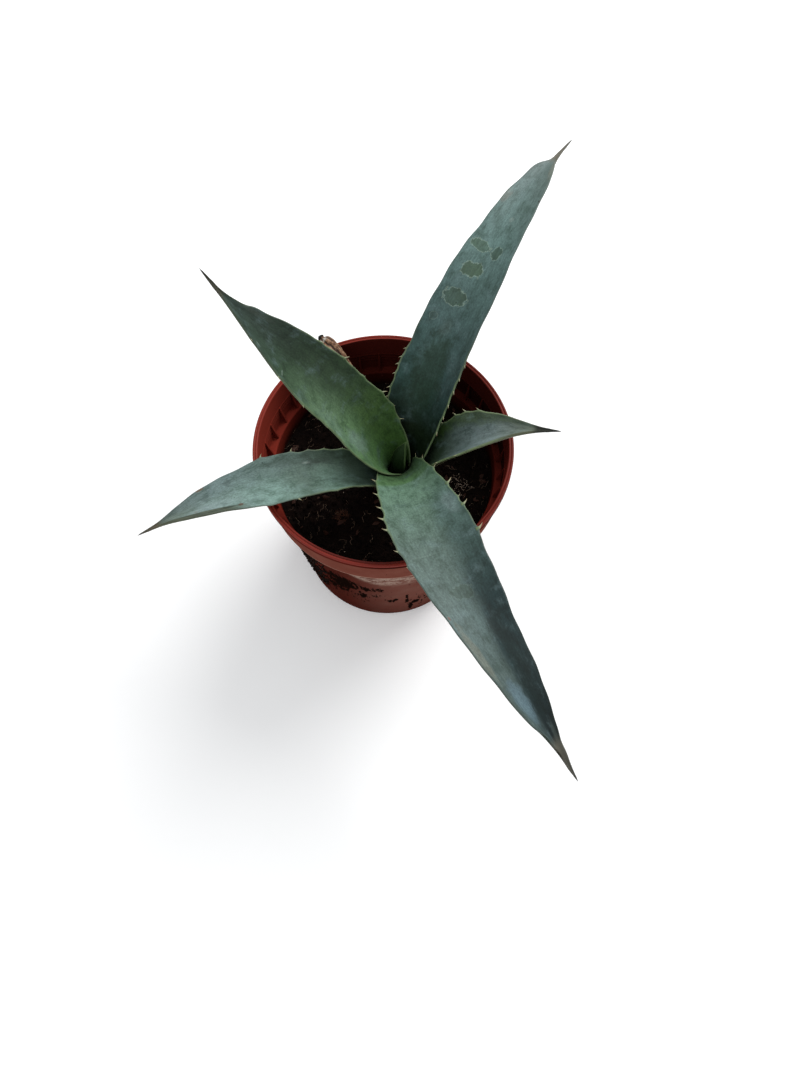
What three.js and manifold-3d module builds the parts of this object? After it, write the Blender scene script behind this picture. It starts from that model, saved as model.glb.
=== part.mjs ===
// A young agave in a round plastic nursery pot. Millimetres, +Z up, origin at the centre of the
// pot's base. Seen from -Y, with +X to the right, the longest leaf comes towards the viewer.
import * as THREE from 'three';
import { mergeVertices } from 'three/addons/utils/BufferGeometryUtils.js';
import Module from 'manifold-3d';

const wasm = await Module();
wasm.setup();

// ---------------------------------------------------------------- driving dimensions
const GAP = 0.3; // clear distance between two pieces that touch
const pot = {
  height: 140, lipRadius: 75, lipWidth: 2.9, lipHeight: 4.2, wall: 1.3,
  ledgeBelowLip: 28, ledgeInner: 66.5, collarBottom: 71.5, collarTop: 73.4, baseRadius: 57.5,
  floor: 2.4, segments: 72, ribs: 36, ribThickness: 1.5, ribHeight: 14,
  holes: 6, holeRadius: 6, holeCircle: 40,
};
const soil = { level: 97, segments: 54, rings: 9, lumps: 110, lumpHeight: 2.6, seed: 7 };
const crown = {
  x: 8.8, y: 0.5, radius: 9.5, neck: 6.4, tipRadius: 5, foot: 66, shoulder: 99, neckHeight: 104,
  top: 109, sheathFoot: 101.5,
};
const bud = { radius: 4.6, foot: crown.top + GAP, tip: [14.4, -1.6, 147] };

// Places along a leaf, as fractions of its length, where half widths are given. The last stretch,
// past the eighth place, is the terminal spine.
const PLACES = [0, 0.1, 0.22, 0.36, 0.5, 0.64, 0.78, 0.9, 1];
const THICKNESS = [1.15, 1.25, 1.15, 1, 0.9, 0.8, 0.62, 0.4, 0]; // times the leaf's own thickness
const LEAF_STEPS = 24;
const LEAF_ACROSS = 6;
const EDGE = 1.0; // thickness of a leaf at its margin
const CLASPED = 0.13; // how far along it a leaf's channel keeps the older leaves out
const TOOTH = { length: 3.3, halfWidth: 1.7, halfThickness: 0.45, sunk: 1.3, back: 1.3 };

// Each leaf springs from the crown at a radius and a height. heading and rise are the degrees at
// its base and how they change along it; roll turns the blade about its own middle line; curl is
// half the angle of the channel at CURL_PLACES; teeth are places along each margin.
const CURL_PLACES = [0, 0.12, 0.5, 1];
const leaves = [
  {
    name: 'leaf_inner', length: 179, from: [6.5, 113], heading: [167, -1], rise: [76.5, -65.5, 56],
    roll: [15, 1], curl: [2.5, 1.1, 0.65, 1.1], thick: 3.4, colour: 0x4c6650,
    halfWidths: [16.8, 18.5, 21.3, 19.8, 18.2, 14, 7.3, 1.2, 0],
    teeth: { right: [0.145, 0.2, 0.267, 0.36, 0.46, 0.56], left: [0.3, 0.4, 0.52, 0.64, 0.77] },
  },
  {
    name: 'leaf_front', length: 239.5, from: [6.8, 114], heading: [-84, 32],
    rise: [57.8, -88.5, -17.2], roll: [-5, 15], curl: [1.46, 0.66, 0.36, 0.92], thick: 5,
    colour: 0x6b8078, halfWidths: [12.8, 16.6, 18.9, 21.1, 18.2, 13.6, 9, 1.7, 0],
    teeth: { right: [0.121, 0.193, 0.25, 0.291, 0.327, 0.392, 0.437],
      left: [0.02, 0.055, 0.127, 0.226, 0.29, 0.32, 0.405] },
  },
  {
    name: 'leaf_back', length: 233.5, from: [8, 108], heading: [55, 0.5], rise: [78.3, -105.7, 8.7],
    roll: [2, 15], curl: [1.36, 0.9, 0.5, 0.5], thick: 4.8, colour: 0x53696b,
    halfWidths: [14.2, 17.9, 19.1, 17.9, 16.6, 13, 9, 1.3, 0],
    teeth: { right: [0.165, 0.208, 0.238, 0.272, 0.304, 0.335],
      left: [0.18, 0.205, 0.241, 0.265, 0.283, 0.305] },
  },
  {
    name: 'leaf_left', length: 167.5, from: [10, 104], heading: [202.5, -11],
    rise: [62.8, -126.3, 31.2], roll: [1, -12], curl: [1.35, 0.7, 0.36, 0.94], thick: 4.2,
    colour: 0x71837f, halfWidths: [12.2, 13.3, 13.3, 14.6, 15.2, 11.6, 6.8, 1.2, 0],
    teeth: { right: [0.208, 0.28, 0.34, 0.4, 0.505], left: [0.2, 0.3, 0.433, 0.52] },
  },
  {
    name: 'leaf_right', length: 115.7, from: [10.5, 104], heading: [-6.5, -16],
    rise: [72.4, -45.8, -9.5], roll: [-1, 0], curl: [1.36, 1.04, 0.85, 1.07], thick: 3.6,
    colour: 0x5d6f6b, halfWidths: [11.4, 12, 12.5, 13.7, 14.5, 11.4, 5.3, 1, 0],
    teeth: { right: [0.36, 0.5], left: [0.35, 0.445, 0.506, 0.583] },
  },
];

// The withered leaf lies from the crown over the pot's lip: its middle line, then half widths and
// half thicknesses at the same points.
const withered = {
  path: [[4, 14, 104], [0, 26, 109], [-6, 41, 119.5], [-14, 54, 132], [-23, 62.5, 141.5],
    [-29.5, 67.5, 144.6], [-35.5, 71.5, 146]],
  halfWidths: [6, 6.5, 6, 5.5, 5, 4, 1.9],
  halfThicknesses: [1.6, 1.8, 2, 2.2, 2.2, 2.2, 1.7],
};

// ---------------------------------------------------------------- helpers
function random(seed) {
  let state = seed;
  return () => {
    state = (state * 1664525 + 1013904223) % 4294967296;
    return state / 4294967296;
  };
}

// Hermite curve through values given at rising places.
function along(places, values, x) {
  let i = 0;
  while (i < places.length - 2 && x > places[i + 1]) i += 1;
  const slope = (k) => {
    const a = Math.max(k - 1, 0);
    const b = Math.min(k + 1, places.length - 1);
    return (values[b] - values[a]) / (places[b] - places[a]);
  };
  const h = places[i + 1] - places[i];
  const t = THREE.MathUtils.clamp((x - places[i]) / h, 0, 1);
  const t2 = t * t;
  const t3 = t2 * t;
  return (2 * t3 - 3 * t2 + 1) * values[i] + (t3 - 2 * t2 + t) * h * slope(i)
    + (3 * t2 - 2 * t3) * values[i + 1] + (t3 - t2) * h * slope(i + 1);
}

function meshFrom(points, faces) {
  const geometry = new THREE.BufferGeometry();
  geometry.setAttribute('position', new THREE.Float32BufferAttribute(points.flat(), 3));
  geometry.setIndex(faces.flat());
  return geometry;
}

function solidFrom(geometry) {
  const bare = geometry.clone();
  bare.deleteAttribute('normal');
  bare.deleteAttribute('uv');
  const merged = mergeVertices(bare, 1e-4);
  return new wasm.Manifold(new wasm.Mesh({
    numProp: 3,
    vertProperties: new Float32Array(merged.attributes.position.array),
    triVerts: new Uint32Array(merged.index.array),
  }));
}

function geometryFrom(solid) {
  const mesh = solid.getMesh();
  const geometry = new THREE.BufferGeometry();
  geometry.setAttribute('position', new THREE.BufferAttribute(mesh.vertProperties, 3));
  geometry.setIndex(new THREE.BufferAttribute(mesh.triVerts, 1));
  return geometry;
}

// Keeps the body with the most faces, so a scrap left by a cut is dropped.
function largestBody(geometry) {
  const merged = mergeVertices(geometry, 1e-3);
  const index = Array.from(merged.index.array);
  const parent = Array.from({ length: merged.attributes.position.count }, (_, i) => i);
  const root = (i) => {
    let r = i;
    while (parent[r] !== r) r = parent[r];
    parent[i] = r;
    return r;
  };
  for (let i = 0; i < index.length; i += 3) {
    parent[root(index[i])] = root(index[i + 1]);
    parent[root(index[i + 1])] = root(index[i + 2]);
  }
  const sizes = new Map();
  for (const i of index) sizes.set(root(i), (sizes.get(root(i)) ?? 0) + 1);
  const best = [...sizes].reduce((a, b) => (b[1] > a[1] ? b : a))[0];
  merged.setIndex(index.filter((i) => root(i) === best));
  return merged;
}

// Rings of the same number of points joined into a tube, with a strip across the first ring and
// the last ring drawn to one point. Each ring runs along the top and back along the underside.
function closeLeaf(rings, tip) {
  const n = rings[0].length;
  const points = rings.flat();
  const faces = [];
  for (let k = 0; k < rings.length - 1; k += 1) {
    for (let j = 0; j < n; j += 1) {
      const a = k * n + j;
      const b = k * n + ((j + 1) % n);
      faces.push([a, b, b + n], [a, b + n, a + n]);
    }
  }
  for (let j = 0; j < n / 2 - 1; j += 1) {
    faces.push([j, n - 1 - j, n - 2 - j], [j, n - 2 - j, j + 1]);
  }
  const last = (rings.length - 1) * n;
  points.push(tip);
  for (let j = 0; j < n; j += 1) {
    faces.push([last + j, last + ((j + 1) % n), points.length - 1]);
  }
  return meshFrom(points, faces);
}

// ---------------------------------------------------------------- pot
function potProfile() {
  const ledge = pot.height - pot.ledgeBelowLip;
  const inner = pot.lipRadius - pot.lipWidth;
  const wallFoot = pot.baseRadius - pot.wall;
  return [
    [0, 0], [pot.baseRadius - 1.5, 0], [pot.baseRadius, 1.5],
    [pot.ledgeInner + pot.wall, ledge - pot.wall], [pot.collarBottom, ledge - pot.wall],
    [pot.collarTop, pot.height - pot.lipHeight], [pot.lipRadius, pot.height - pot.lipHeight],
    [pot.lipRadius, pot.height - 0.8], [pot.lipRadius - 0.9, pot.height],
    [inner + 0.5, pot.height], [inner, pot.height - 0.8], [pot.collarBottom - pot.wall, ledge],
    [pot.ledgeInner + 0.8, ledge], [pot.ledgeInner, ledge - 1.1],
    [wallFoot, pot.floor], [0, pot.floor],
  ].map(([r, z]) => new THREE.Vector2(r, z));
}

// A stiffening rib: a triangular plate standing on the ledge against the collar's wall.
function ribGeometry(angle) {
  const ledge = pot.height - pot.ledgeBelowLip;
  const shape = new THREE.Shape();
  shape.moveTo(pot.ledgeInner + 0.9, ledge - 0.6);
  shape.lineTo(pot.collarBottom - 0.6, ledge - 0.6);
  shape.lineTo(pot.collarBottom - 0.2, ledge + pot.ribHeight);
  shape.lineTo(pot.collarBottom - 1.1, ledge + pot.ribHeight);
  const plate = new THREE.ExtrudeGeometry(shape, { depth: pot.ribThickness, bevelEnabled: false });
  plate.translate(0, 0, -pot.ribThickness / 2);
  plate.rotateX(Math.PI / 2);
  plate.rotateZ(angle);
  return plate;
}

function potGeometry() {
  let solid = solidFrom(new THREE.LatheGeometry(potProfile(), pot.segments).rotateX(Math.PI / 2));
  for (let i = 0; i < pot.ribs; i += 1) {
    solid = solid.add(solidFrom(ribGeometry((i * 2 * Math.PI) / pot.ribs)));
  }
  for (let i = 0; i < pot.holes; i += 1) {
    const angle = ((i + 0.5) * 2 * Math.PI) / pot.holes;
    const drill = new THREE.CylinderGeometry(pot.holeRadius, pot.holeRadius, pot.floor * 4, 12);
    drill.rotateX(Math.PI / 2);
    drill.translate(pot.holeCircle * Math.cos(angle), pot.holeCircle * Math.sin(angle), 0);
    solid = solid.subtract(solidFrom(drill));
  }
  return geometryFrom(solid);
}

// ---------------------------------------------------------------- soil, crown and bud
function innerWallRadius(z) {
  const ledge = pot.height - pot.ledgeBelowLip - 1.1;
  const t = (z - pot.floor) / (ledge - pot.floor);
  return THREE.MathUtils.lerp(pot.baseRadius - pot.wall, pot.ledgeInner, t);
}

function soilGeometry(stemHole) {
  const next = random(soil.seed);
  const lumps = Array.from({ length: soil.lumps }, () => {
    const r = Math.sqrt(next()) * 62;
    const angle = next() * 2 * Math.PI;
    return [r * Math.cos(angle), r * Math.sin(angle), 2.5 + 4 * next(), next() * soil.lumpHeight];
  });
  const height = (x, y) => lumps.reduce((sum, [lx, ly, wide, high]) => (
    sum + high * Math.exp(-((x - lx) ** 2 + (y - ly) ** 2) / wide ** 2)), soil.level - 1);
  const points = [[0, 0, height(0, 0)]];
  const rows = [];
  const addRow = (r, z) => {
    rows.push(points.length);
    for (let j = 0; j < soil.segments; j += 1) {
      const angle = (j * 2 * Math.PI) / soil.segments;
      const [x, y] = [r * Math.cos(angle), r * Math.sin(angle)];
      points.push([x, y, z ?? height(x, y)]);
    }
  };
  const topRadius = innerWallRadius(soil.level) - GAP - 0.3;
  for (let k = 1; k <= soil.rings; k += 1) addRow((topRadius * k) / soil.rings);
  const foot = pot.floor + GAP;
  addRow(innerWallRadius(foot) - GAP - 0.2, foot);
  points.push([0, 0, foot]);
  const faces = [];
  for (let j = 0; j < soil.segments; j += 1) {
    const k = (j + 1) % soil.segments;
    faces.push([0, rows[0] + j, rows[0] + k]);
    for (let i = 0; i < rows.length - 1; i += 1) {
      faces.push([rows[i] + j, rows[i + 1] + j, rows[i + 1] + k]);
      faces.push([rows[i] + j, rows[i + 1] + k, rows[i] + k]);
    }
    faces.push([rows.at(-1) + j, points.length - 1, rows.at(-1) + k]);
  }
  return geometryFrom(solidFrom(meshFrom(points, faces)).subtract(stemHole));
}

function stemGeometry(grow) {
  const { radius, neck, tipRadius, foot, shoulder, neckHeight, top } = crown;
  const profile = [[0, foot - grow], [radius * 0.55 + grow, foot - grow],
    [radius + grow, foot + 9], [radius + grow, shoulder], [neck + grow, neckHeight + grow / 2],
    [tipRadius + grow, top + grow], [0, top + grow]].map(([r, z]) => new THREE.Vector2(r, z));
  return new THREE.LatheGeometry(profile, 20).rotateX(Math.PI / 2).translate(crown.x, crown.y, 0);
}

function stemHoleGeometry() {
  const radius = crown.radius + GAP;
  const foot = crown.foot - GAP;
  const hole = new THREE.CylinderGeometry(radius, radius, pot.height - foot, 20);
  return hole.rotateX(Math.PI / 2).translate(crown.x, crown.y, (pot.height + foot) / 2);
}

// Tightly furled young leaves: a leaning cone with a flattened, ribbed section.
function budGeometry(grow) {
  const base = new THREE.Vector3(crown.x, crown.y, bud.foot);
  const tip = new THREE.Vector3(...bud.tip);
  const sides = 14;
  const places = [0, 0.15, 0.35, 0.6, 0.8, 0.93];
  const radii = [0.85, 1, 0.95, 0.62, 0.28, 0.12];
  const points = places.flatMap((s, k) => Array.from({ length: sides }, (_, j) => {
    const angle = (j * 2 * Math.PI) / sides;
    const furl = 1 + 0.16 * Math.cos(2 * angle + 1) + 0.08 * Math.cos(3 * angle - 2.2 * s);
    const centre = base.clone().lerp(tip, s);
    const r = bud.radius * radii[k] * furl + grow;
    return [centre.x + r * Math.cos(angle), centre.y + r * Math.sin(angle),
      centre.z - (k === 0 ? grow : 0)];
  }));
  const faces = [];
  for (let k = 0; k < places.length - 1; k += 1) {
    for (let j = 0; j < sides; j += 1) {
      const a = k * sides + j;
      const b = k * sides + ((j + 1) % sides);
      faces.push([a, b, b + sides], [a, b + sides, a + sides]);
    }
  }
  points.push([base.x, base.y, base.z - grow], [tip.x, tip.y, tip.z + grow]);
  const last = (places.length - 1) * sides;
  for (let j = 0; j < sides; j += 1) {
    const k = (j + 1) % sides;
    faces.push([k, j, points.length - 2], [last + j, last + k, points.length - 1]);
  }
  return meshFrom(points, faces);
}

// ---------------------------------------------------------------- leaves
// The blade's own axes at a place: forward along the leaf, side to its right and up out of its
// upper face, with the middle line's point found by stepping along the leaf.
function leafFrames(leaf, places) {
  const rad = THREE.MathUtils.degToRad;
  const directions = (s) => {
    const heading = rad(leaf.heading[0] + leaf.heading[1] * s);
    const rise = rad(leaf.rise[0] + leaf.rise[1] * s + leaf.rise[2] * s * s);
    const roll = rad(leaf.roll[0] + leaf.roll[1] * s);
    const forward = new THREE.Vector3(Math.cos(rise) * Math.cos(heading),
      Math.cos(rise) * Math.sin(heading), Math.sin(rise));
    const level = new THREE.Vector3(Math.sin(heading), -Math.cos(heading), 0);
    const side = level.clone().applyAxisAngle(forward, -roll);
    return { forward, side, up: new THREE.Vector3().crossVectors(side, forward) };
  };
  const heading = rad(leaf.heading[0]);
  const point = new THREE.Vector3(crown.x + leaf.from[0] * Math.cos(heading),
    crown.y + leaf.from[0] * Math.sin(heading), leaf.from[1]);
  const steps = 240;
  let step = 0;
  return places.map((s) => {
    while ((step + 1) / steps <= s + 1e-9) {
      point.addScaledVector(directions((step + 0.5) / steps).forward, leaf.length / steps);
      step += 1;
    }
    return { s, point: point.clone(), ...directions(s) };
  });
}

// A point of the blade's upper face at u, from -1 on the left margin to 1 on the right, and the
// directions across the blade and out of it there.
function onBlade(leaf, frame, u, grow = 0) {
  const half = Math.max(along(PLACES, leaf.halfWidths, frame.s), 0.02) + grow;
  const curl = along(CURL_PLACES, leaf.curl, frame.s);
  const angle = curl * u;
  const out = frame.up.clone().multiplyScalar(Math.cos(angle))
    .addScaledVector(frame.side, -Math.sin(angle));
  const across = frame.side.clone().multiplyScalar(Math.cos(angle))
    .addScaledVector(frame.up, Math.sin(angle));
  const point = frame.point.clone()
    .addScaledVector(frame.side, (half * Math.sin(angle)) / curl)
    .addScaledVector(frame.up, (half * (1 - Math.cos(angle))) / curl);
  const middle = leaf.thick * along(PLACES, THICKNESS, frame.s);
  const edge = Math.min(EDGE, middle);
  return { point, out, across, thickness: edge + (middle - edge) * (1 - u * u) };
}

// A blade, or with grow the room that it takes up: larger all round, and with the channel of its
// clasping base filled in.
function bladeGeometry(leaf, grow = 0) {
  const places = Array.from({ length: LEAF_STEPS }, (_, i) => {
    const t = i / LEAF_STEPS;
    return 0.96 * t + 0.04 * t * t;
  });
  const rings = leafFrames(leaf, places).map((frame) => {
    const top = [];
    const under = [];
    for (let j = 0; j <= LEAF_ACROSS; j += 1) {
      const spot = onBlade(leaf, frame, -1 + (2 * j) / LEAF_ACROSS, grow);
      top.push(spot.point.clone().addScaledVector(spot.out, grow).toArray());
      under.unshift(spot.point.clone().addScaledVector(spot.out, -spot.thickness - grow).toArray());
    }
    if (grow > 0 && frame.s < CLASPED) {
      const [first, last] = [new THREE.Vector3(...top[0]), new THREE.Vector3(...top.at(-1))];
      top.forEach((_, j) => { top[j] = first.clone().lerp(last, j / LEAF_ACROSS).toArray(); });
    }
    return [...top, ...under];
  });
  // The base goes straight down as a sheath round the stem.
  const drop = leaf.from[1] - crown.sheathFoot + grow;
  rings.unshift(rings[0].map(([x, y, z]) => [x, y, z - drop]));
  const end = leafFrames(leaf, [1])[0];
  return closeLeaf(rings, end.point.addScaledVector(end.forward, grow).toArray());
}

// A hooked tooth: a small four-sided horn with its root sunk in the margin, bent to the base.
function toothGeometry(leaf, frame, side, size, grow) {
  const spot = onBlade(leaf, frame, side);
  const outward = spot.across.clone().multiplyScalar(side);
  const root = spot.point.clone().addScaledVector(spot.out, -spot.thickness / 2);
  const section = (reach, shift, halfWidth, halfThickness) => (
    [[1, 1], [1, -1], [-1, -1], [-1, 1]].map(([a, b]) => root.clone()
      .addScaledVector(outward, reach)
      .addScaledVector(frame.forward, a * (halfWidth + grow) - shift)
      .addScaledVector(spot.out, b * (halfThickness + grow)).toArray()));
  const { length, halfWidth, halfThickness, sunk, back } = TOOTH;
  const points = [
    ...section(-sunk, 0, halfWidth, halfThickness),
    ...section(length * size * 0.45, back * 0.3, halfWidth * 0.4, halfThickness * 0.8),
    root.clone().addScaledVector(outward, length * size + grow)
      .addScaledVector(frame.forward, -back).toArray(),
  ];
  const faces = [[0, 1, 2], [0, 2, 3]];
  for (let j = 0; j < 4; j += 1) {
    const k = (j + 1) % 4;
    faces.push([j, j + 4, k], [k, j + 4, k + 4], [j + 4, 8, k + 4]);
  }
  return meshFrom(points, faces);
}

// Turns a closed mesh the right way round if its faces point inwards.
function facingOut(geometry) {
  const { position } = geometry.attributes;
  const index = Array.from(geometry.index.array);
  const corner = (i) => new THREE.Vector3().fromBufferAttribute(position, index[i]);
  let volume = 0;
  for (let i = 0; i < index.length; i += 3) {
    volume += corner(i).dot(corner(i + 1).cross(corner(i + 2)));
  }
  if (volume < 0) {
    for (let i = 0; i < index.length; i += 3) {
      [index[i], index[i + 1]] = [index[i + 1], index[i]];
    }
    geometry.setIndex(index);
  }
  return geometry;
}

function leafSolid(leaf, grow = 0) {
  let solid = solidFrom(facingOut(bladeGeometry(leaf, grow)));
  const next = random(leaf.length);
  for (const [name, side] of [['right', 1], ['left', -1]]) {
    for (const frame of leafFrames(leaf, leaf.teeth[name])) {
      const tooth = toothGeometry(leaf, frame, side, 0.85 + 0.45 * next(), grow);
      solid = solid.add(solidFrom(facingOut(tooth)));
    }
  }
  return solid;
}

function witheredGeometry() {
  const curve = new THREE.CatmullRomCurve3(withered.path.map((p) => new THREE.Vector3(...p)));
  const steps = 15;
  const sides = 10;
  const stations = withered.path.map((_, i) => i / (withered.path.length - 1));
  const points = [];
  for (let k = 0; k <= steps; k += 1) {
    const t = k / steps;
    const centre = curve.getPoint(t);
    const forward = curve.getTangent(t);
    const side = new THREE.Vector3(forward.y, -forward.x, 0).normalize();
    const up = new THREE.Vector3().crossVectors(side, forward);
    for (let j = 0; j < sides; j += 1) {
      const angle = (j * 2 * Math.PI) / sides;
      const crease = 1 + 0.14 * Math.cos(3 * angle + 5 * t);
      points.push(centre.clone()
        .addScaledVector(side, along(stations, withered.halfWidths, t) * crease * Math.cos(angle))
        .addScaledVector(up, along(stations, withered.halfThicknesses, t) * Math.sin(angle))
        .toArray());
    }
  }
  const faces = [];
  for (let k = 0; k < steps; k += 1) {
    for (let j = 0; j < sides; j += 1) {
      const a = k * sides + j;
      const b = k * sides + ((j + 1) % sides);
      faces.push([a, b, b + sides], [a, b + sides, a + sides]);
    }
  }
  const last = steps * sides;
  points.push(curve.getPoint(0).toArray(), curve.getPoint(1).toArray());
  for (let j = 0; j < sides; j += 1) {
    const k = (j + 1) % sides;
    faces.push([k, j, points.length - 2], [last + j, last + k, points.length - 1]);
  }
  return meshFrom(points, faces);
}

// ---------------------------------------------------------------- assembly
const plant = new THREE.Group();
function addPiece(name, geometry, colour, roughness) {
  const material = new THREE.MeshStandardMaterial({ color: colour, roughness, metalness: 0 });
  const mesh = new THREE.Mesh(geometry, material);
  mesh.name = name;
  plant.add(mesh);
}

addPiece('pot', potGeometry(), 0x6f2a20, 0.5);
addPiece('soil', soilGeometry(solidFrom(stemHoleGeometry())), 0x1c130e, 1);
addPiece('stem', stemGeometry(0), 0x6d7056, 0.8);
addPiece('bud', budGeometry(0), 0x2c3d28, 0.6);

// Each leaf wraps what grew after it, so it is cut clear of the crown and of every inner leaf.
const inner = [solidFrom(stemGeometry(GAP)), solidFrom(facingOut(budGeometry(GAP)))];
for (const leaf of leaves) {
  let solid = leafSolid(leaf);
  for (const body of inner) solid = solid.subtract(body);
  addPiece(leaf.name, largestBody(geometryFrom(solid)), leaf.colour, 0.6);
  inner.push(leafSolid(leaf, GAP));
}

let driedLeaf = solidFrom(facingOut(witheredGeometry()));
for (const body of inner) driedLeaf = driedLeaf.subtract(body);
addPiece('leaf_withered', largestBody(geometryFrom(driedLeaf)), 0x7a5a40, 0.9);

export default plant;
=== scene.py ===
# %% [markdown]
# # A potted agave
# This lesson dresses a young agave in a plastic nursery pot. The plant's solids come packed in a
# frame that fixes where each piece is. Here every piece gets its fine shape and its finish: waxy
# blue-grey leaves with horny margins and hooked teeth, peat with rootlets, and scuffed red plastic.
# Each step opens with a few words on the real thing, on how it could be made, and on why it is
# made as it is here. Sizes are in millimetres unless a line says otherwise.

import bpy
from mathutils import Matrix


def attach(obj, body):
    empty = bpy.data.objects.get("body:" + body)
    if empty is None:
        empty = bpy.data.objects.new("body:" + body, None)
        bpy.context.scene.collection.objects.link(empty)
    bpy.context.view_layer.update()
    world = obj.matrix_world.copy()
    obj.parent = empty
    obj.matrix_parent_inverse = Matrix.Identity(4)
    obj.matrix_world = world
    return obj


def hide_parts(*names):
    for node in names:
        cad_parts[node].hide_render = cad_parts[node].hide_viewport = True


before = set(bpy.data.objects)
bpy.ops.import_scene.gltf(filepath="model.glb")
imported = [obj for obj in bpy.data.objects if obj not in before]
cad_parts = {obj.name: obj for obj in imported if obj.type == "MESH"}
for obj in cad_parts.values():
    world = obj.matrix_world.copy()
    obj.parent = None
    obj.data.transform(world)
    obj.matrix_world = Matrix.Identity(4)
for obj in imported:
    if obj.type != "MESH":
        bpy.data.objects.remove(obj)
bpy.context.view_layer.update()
print("nodes:", sorted(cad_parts))

# %% What the rest of the script uses
import math

import bmesh
import bpy
import numpy as np
from mathutils import Vector, kdtree, noise

MM = 0.001
TURN = 2 * math.pi
scene = bpy.context.scene
print("Blender", bpy.app.version_string)

# %% [markdown]
# ## Viewpoint, floor and light
# The plant is seen from above and in front, as somebody standing at a table sees it. The camera
# looks down steeply, so a large pale floor fills the picture. Its place and tilt could be found by
# trial, but four circles of the pot, seen as ovals, fix them. One big soft lamp, high up behind
# the plant on the right, gives the leaves their slow change from light to dark, where a small one
# would cut hard shadows. A weak lamp in front and the pale world fill in.

# %% The camera
PICTURE_WIDTH = 810
FOCAL_PIXELS = 875
CAMERA_PLACE = (0, -240.8 * MM, 583.7 * MM)
LOOKING_DOWN = 67.79
TURNED_RIGHT = 2.96
FILM_WIDTH = 36

lens = bpy.data.cameras.new("viewpoint")
lens.sensor_fit = "HORIZONTAL"
lens.sensor_width = FILM_WIDTH
lens.lens = FILM_WIDTH * FOCAL_PIXELS / PICTURE_WIDTH
camera = bpy.data.objects.new("viewpoint", lens)
camera.location = CAMERA_PLACE
camera.rotation_euler = (math.radians(90 - LOOKING_DOWN), 0, -math.radians(TURNED_RIGHT))
scene.collection.objects.link(camera)
scene.camera = camera
print("lens", round(lens.lens, 1), "mm")


# %% Lamps and world
PLANT_MIDDLE = (0, 0, 0.15)


def soft_lamp(name, place, size, power):
    """A round lamp at a place in metres, aimed at the middle of the plant."""
    lamp = bpy.data.lights.new(name, "AREA")
    lamp.shape = "DISK"
    lamp.size = size
    lamp.energy = power
    holder = bpy.data.objects.new(name, lamp)
    holder.location = place
    aim = Vector(PLANT_MIDDLE) - Vector(place)
    holder.rotation_euler = aim.to_track_quat("-Z", "Y").to_euler()
    scene.collection.objects.link(holder)


soft_lamp("window", place=(0.8, 0.95, 1.25), size=1.2, power=24)
soft_lamp("room", place=(-0.5, -0.5, 1.6), size=1.3, power=4)

sky = bpy.data.worlds.new("pale_room")
sky.use_nodes = True
backdrop = sky.node_tree.nodes["Background"].inputs
backdrop["Color"].default_value = (0.95, 0.97, 1, 1)
backdrop["Strength"].default_value = 0.62
scene.world = sky
scene.view_settings.view_transform = "Standard"
print("lamps:", ", ".join(lamp.name for lamp in bpy.data.lights))

# %% [markdown]
# ## Expressions that make nodes
# A finish is a sum of many small things: a colour that changes along the leaf, specks, a worn
# band. Its nodes could be made and linked one call at a time, but then nobody could read the sum.
# Written as arithmetic it stays readable. `Wire` wraps one socket and turns +, -, * and / into
# Math nodes; `Graph.node` makes any other node.


# %% Wires
class Wire:
    """An output socket that can stand in an expression."""

    def __init__(self, graph, socket):
        self.graph, self.socket = graph, socket

    def maths(self, operation, *others):
        return self.graph.maths(operation, self, *others)

    def __add__(self, other):
        return self.maths("ADD", other)

    def __sub__(self, other):
        return self.maths("SUBTRACT", other)

    def __rsub__(self, other):
        return self.graph.maths("SUBTRACT", other, self)

    def __mul__(self, other):
        return self.maths("MULTIPLY", other)

    def __truediv__(self, other):
        return self.maths("DIVIDE", other)

    def __rtruediv__(self, other):
        return self.graph.maths("DIVIDE", other, self)

    def __gt__(self, other):
        return self.maths("GREATER_THAN", other)

    __radd__, __rmul__ = __add__, __mul__

    def step(self, low, high):
        """0 below low and 1 above high, or the other way round where low is above high."""
        ends = {"From Min": low, "From Max": high} if low < high else {
            "From Min": high, "From Max": low, "To Min": 1, "To Max": 0}
        return self.graph.node(
            "ShaderNodeMapRange", {"interpolation_type": "SMOOTHSTEP"}, {"Value": self, **ends})


# %% Graphs
class Graph:
    """A node tree that is being made."""

    def __init__(self, tree):
        self.tree = tree

    def node(self, kind, settings=None, sockets=None, out=0):
        made = self.tree.nodes.new(kind)
        for name, value in (settings or {}).items():
            if name == "stops":
                ramp = made.color_ramp.elements
                while len(ramp) < len(value):
                    ramp.new(0.5)
                for stop, (place, colour) in zip(ramp, value):
                    stop.position, stop.color = place, colour
            else:
                setattr(made, name, value)
        for key, value in (sockets or {}).items():
            if isinstance(value, list):
                for wire in value:
                    self.tree.links.new(wire.socket, made.inputs[key])
            elif isinstance(value, Wire):
                self.tree.links.new(value.socket, made.inputs[key])
            else:
                made.inputs[key].default_value = value
        return Wire(self, made.outputs[out])

    def maths(self, operation, *values):
        return self.node("ShaderNodeMath", {"operation": operation}, dict(enumerate(values)))

    def axis(self, name, at=None):
        return self.node("ShaderNodeSeparateXYZ", None, {0: at or self.place}, name)

    def vector(self, x, y, z):
        return self.node("ShaderNodeCombineXYZ", None, {0: x, 1: y, 2: z})

    def vector_maths(self, operation, first, second=(0, 0, 0)):
        return self.node("ShaderNodeVectorMath", {"operation": operation}, {0: first, 1: second})

    def length(self, vector):
        return self.node("ShaderNodeVectorMath", {"operation": "LENGTH"}, {0: vector}, "Value")


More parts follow.
